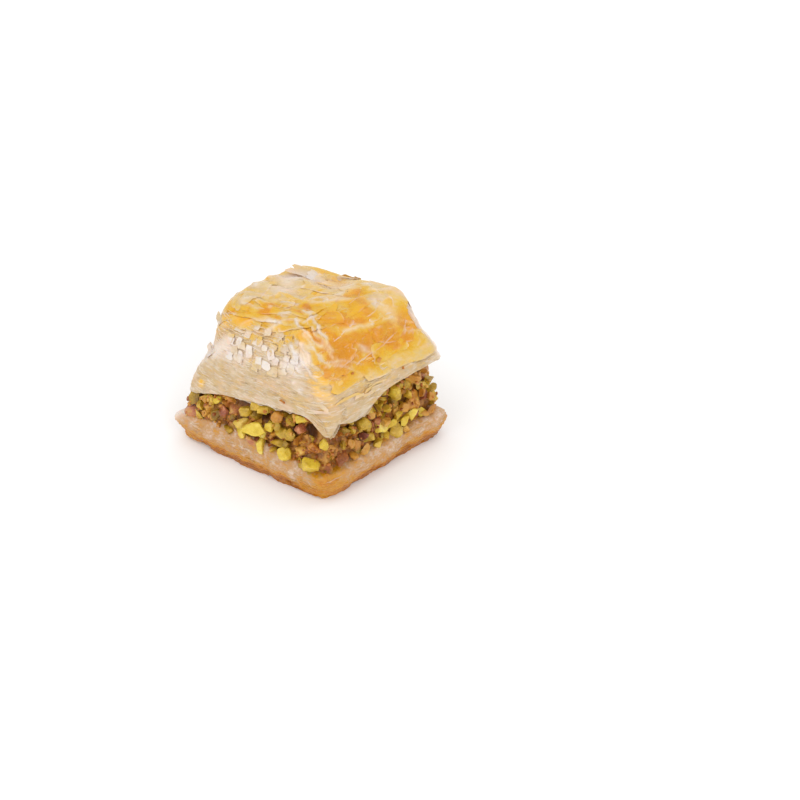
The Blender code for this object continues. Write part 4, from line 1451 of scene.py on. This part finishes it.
# Edges of sheets that show best: start, end, bow, height, slope, browning and how pale
KEY_RIBBONS = (
    ((-1.34, 0.97), (-0.86, 0.70), 0.05, 1.2, 74, 0.26, 0.25),
    ((-1.22, 1.01), (-0.76, 0.77), 0.05, 1.2, 74, 0.18, 0.30),
    ((-1.02, 1.00), (-0.66, 0.83), 0.05, 1.2, 74, 0.24, 0.25),
    ((-1.24, 0.84), (-0.88, 0.58), 0.04, 1.2, 72, 0.18, 0.30),
    ((-1.02, 0.72), (-0.76, 0.50), 0.03, 1.2, 76, 0.28, 0.25),
    ((-1.04, 0.40), (-0.86, 0.18), 0.02, 1.2, 74, 0.20, 0.30),
    ((-0.92, 0.30), (-0.76, 0.06), 0.01, 1.2, 74, 0.26, 0.25),
    ((-0.18, 0.88), (0.52, 0.79), -0.02, 1.3, 74, 0.24, 0.50),
    ((-1.40, 1.30), (-1.25, 1.05), 0.01, 1.2, 60, 0.85, 0.10),
    ((-2.15, 0.96), (-1.45, 0.99), 0.01, 1.0, 70, 0.55, 0.30),
    ((-0.45, 0.62), (0.30, 0.50), 0.01, 1.1, 74, 0.60, 0.25),
    # The two at the right skyline are painted near white: partly the thin sheets' own paleness, partly
    # painted light shining through them on their shaded side
    ((0.735, 0.99), (0.765, 0.04), 0.0, 1.1, -12, 0.12, 0.90),
    ((0.700, 0.97), (0.735, 0.30), 0.0, 1.0, 5, 0.25, 0.70),
)
# Further edges: how many, their angles and rises, lengths in millimetres, heights, browning and how pale
RIBBON_ZONES = (
    (24, (-2.26, -0.80), (0.02, 0.44), (4, 12), (0.4, 0.7), (0.16, 0.32), 0.3),
    (12, (-2.20, -0.95), (0.44, 0.88), (3, 8), (0.5, 0.9), (0.14, 0.42), 0.3),
    (12, (-2.26, -1.00), (0.90, 1.10), (5, 12), (0.6, 1.1), (0.45, 0.70), 0.25),
    (36, (-0.75, 0.80), (0.02, 0.50), (4, 14), (0.4, 0.9), (0.28, 0.55), 0.3),
    (14, (-0.70, 0.80), (0.50, 1.00), (5, 14), (0.5, 1.0), (0.45, 0.75), 0.25),
    (60, (0.80, 2.36), (0.02, 0.95), (4, 14), (0.6, 1.2), (0.20, 0.60), 0.5),
    (56, (2.45, 3.60), (0.02, 0.95), (4, 14), (0.6, 1.2), (0.20, 0.60), 0.5),
    (10, (-2.20, 2.20), (1.02, 1.60), (5, 12), (0.5, 0.9), (0.45, 0.70), 0.25),
)
# Millimetres that one radian spans round the piece, about
ROUND_THE_SIDE = 30


def ribbons():
    rng = np.random.default_rng(9)
    piece = Piece()
    for seed, row in enumerate(KEY_RIBBONS):
        ribbon(piece, seed, *row)
    seed = len(KEY_RIBBONS)
    for count, angles, rises, lengths, heights, toasts, pale in RIBBON_ZONES:
        for _ in range(count):
            seed += 1
            span = rng.uniform(*lengths) / ROUND_THE_SIDE
            angle, rise = drawn(rng, (angles[0], angles[1] - span / 2), rises)
            drift, bow = rng.normal(0, 0.02), rng.normal(0, 0.012)
            height, slope, toast = drawn(rng, heights, (50, 76), toasts)
            start, end = (angle, rise), (angle + span, rise + drift)
            ribbon(piece, seed, start, end, bow, height, slope, toast, pale * rng.uniform(0.2, 1))
    piece.build("top_ribbons", "loose_flakes", 50)


# Bits of nut on the top pastry: place as angle and rise, size in millimetres
TOP_NUT_BITS = (
    ((0.087, 0.391), 1.5),
    ((0.110, 0.402), 1.0),
    ((-0.380, 0.404), 1.2),
    ((0.340, 0.133), 1.1),
    ((-1.178, 0.133), 1.4),
    ((-1.150, 0.120), 0.9),
    ((1.400, 0.250), 1.3),
    ((2.900, 0.300), 1.2),
)


def top_nut_bits():
    rng = np.random.default_rng(31)
    piece = Piece()
    for place, size in TOP_NUT_BITS:
        point, _, _, normal = local_frame(*place)
        points, faces = chopped(rng, size * MM * np.array((1.2, 0.9, 0.7)), 2, 6)
        piece.add(points + point + normal * 0.7 * MM, faces, toast=rng.uniform(0.2, 0.6))
    piece.build("top_nut_bits", "nut_crumb", 28, slot="chopped_pistachio")


def top():
    dry = (0.45, 0.05, 0.55, (0.2, 0.2, 1.6))
    # crisp_sheets takes the colours with painted shade, for the low sheets of the sides and the core
    pastry_material("crisp_sheets", SHADED_PASTRY_COLOURS, *dry, casts=0.4, fibres=2.8)
    pastry_material("dry_sheets", DRY_COLOURS, *dry, casts=0.7, fibres=2.4)
    pastry_material("golden_sheets", DRY_COLOURS, 0.45, 0.12, 0.44, fibres=0.35)
    pastry_material("thin_flakes", DRY_COLOURS, 0.25, 0.1, 0.45, alpha=0.85)
    pastry_material("loose_flakes", DRY_COLOURS, 0.25, 0.1, 0.45, alpha=0.92)
    top_core()
    side_sheets("top_low_sheets", "crisp_sheets", LOW_RISES, 0)
    side_sheets("top_high_sheets", "dry_sheets", HIGH_RISES, len(LOW_RISES))
    crown_covers()
    torn_sheets("top_crown_sheets", "golden_sheets", CROWN_SHEETS, 200)
    torn_sheets("top_side_flaps", "golden_sheets", SIDE_FLAPS, 220)
    scattered_sheets()
    chips()
    torn_sheets("top_thin_flakes", "thin_flakes", THIN_FLAKES, 250, tear=0.3)
    small_flakes()
    ribbons()
    top_nut_bits()


# Stage

FLOOR_SIZE = 4
FLOOR_COLOUR = (0.95, 0.95, 0.95, 1)
WORLD_STRENGTH = 0.86
LIGHT_SIZE = 0.9
# Lights: place and energy
LIGHTS = {
    "key": ((-0.30, -0.64, 0.86), 2.6),
    "fill": ((0.75, -0.45, 0.65), 2.9),
    "top_light": ((0.10, 0.50, 0.90), 1.3),
}


def placed(name, data):
    """The object of a mesh, light or camera, added to the scene."""
    obj = bpy.data.objects.new(name, data)
    bpy.context.scene.collection.objects.link(obj)
    return obj


def area_light(name, place, energy):
    data = bpy.data.lights.new(name, "AREA")
    data.size, data.energy = LIGHT_SIZE, energy
    light = placed(name, data)
    light.location = place
    light.rotation_euler = (Vector(CAMERA_TARGET) - Vector(place)).to_track_quat("-Z", "Y").to_euler()


def floor():
    bm = bmesh.new()
    bmesh.ops.create_grid(bm, x_segments=1, y_segments=1, size=FLOOR_SIZE)
    mesh = bpy.data.meshes.new("floor")
    bm.to_mesh(mesh)
    bm.free()
    mesh.materials.append(Look("floor", {"Base Color": FLOOR_COLOUR, "Roughness": 0.8}).material)
    placed("floor", mesh)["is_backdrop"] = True


def camera():
    """The camera, moved aside and down so that the piece shows where it does in the photograph."""
    aside = np.array((math.cos(CAMERA_AZIMUTH), math.sin(CAMERA_AZIMUTH), 0))
    level = np.array((aside[1], -aside[0], 0))
    back = level * math.cos(CAMERA_ELEVATION) + (0, 0, math.sin(CAMERA_ELEVATION))
    data = bpy.data.cameras.new("camera")
    data.lens = CAMERA_LENS
    data.clip_start, data.clip_end = 0.01, 20
    obj = placed("camera", data)
    down = -np.cross(back, aside)
    obj.location = CAMERA_TARGET + back * CAMERA_DISTANCE + aside * CAMERA_ASIDE + down * CAMERA_DOWN
    obj.rotation_euler = Vector(-back).to_track_quat("-Z", "Y").to_euler()
    bpy.context.scene.camera = obj


def stage():
    floor()
    for name, (place, energy) in LIGHTS.items():
        area_light(name, place, energy)
    world = bpy.data.worlds.new("studio")
    world.use_nodes = True
    background = world.node_tree.nodes["Background"]
    background.inputs["Color"].default_value = (1, 1, 1, 1)
    background.inputs["Strength"].default_value = WORLD_STRENGTH
    bpy.context.scene.world = world
    bpy.context.scene.view_settings.view_transform = "Standard"
    camera()


base()
filling(filling_core())
top()
stage()

VISUAL_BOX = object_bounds()
[[list(corner) for corner in box] for box in (CAD_BOX, VISUAL_BOX)]
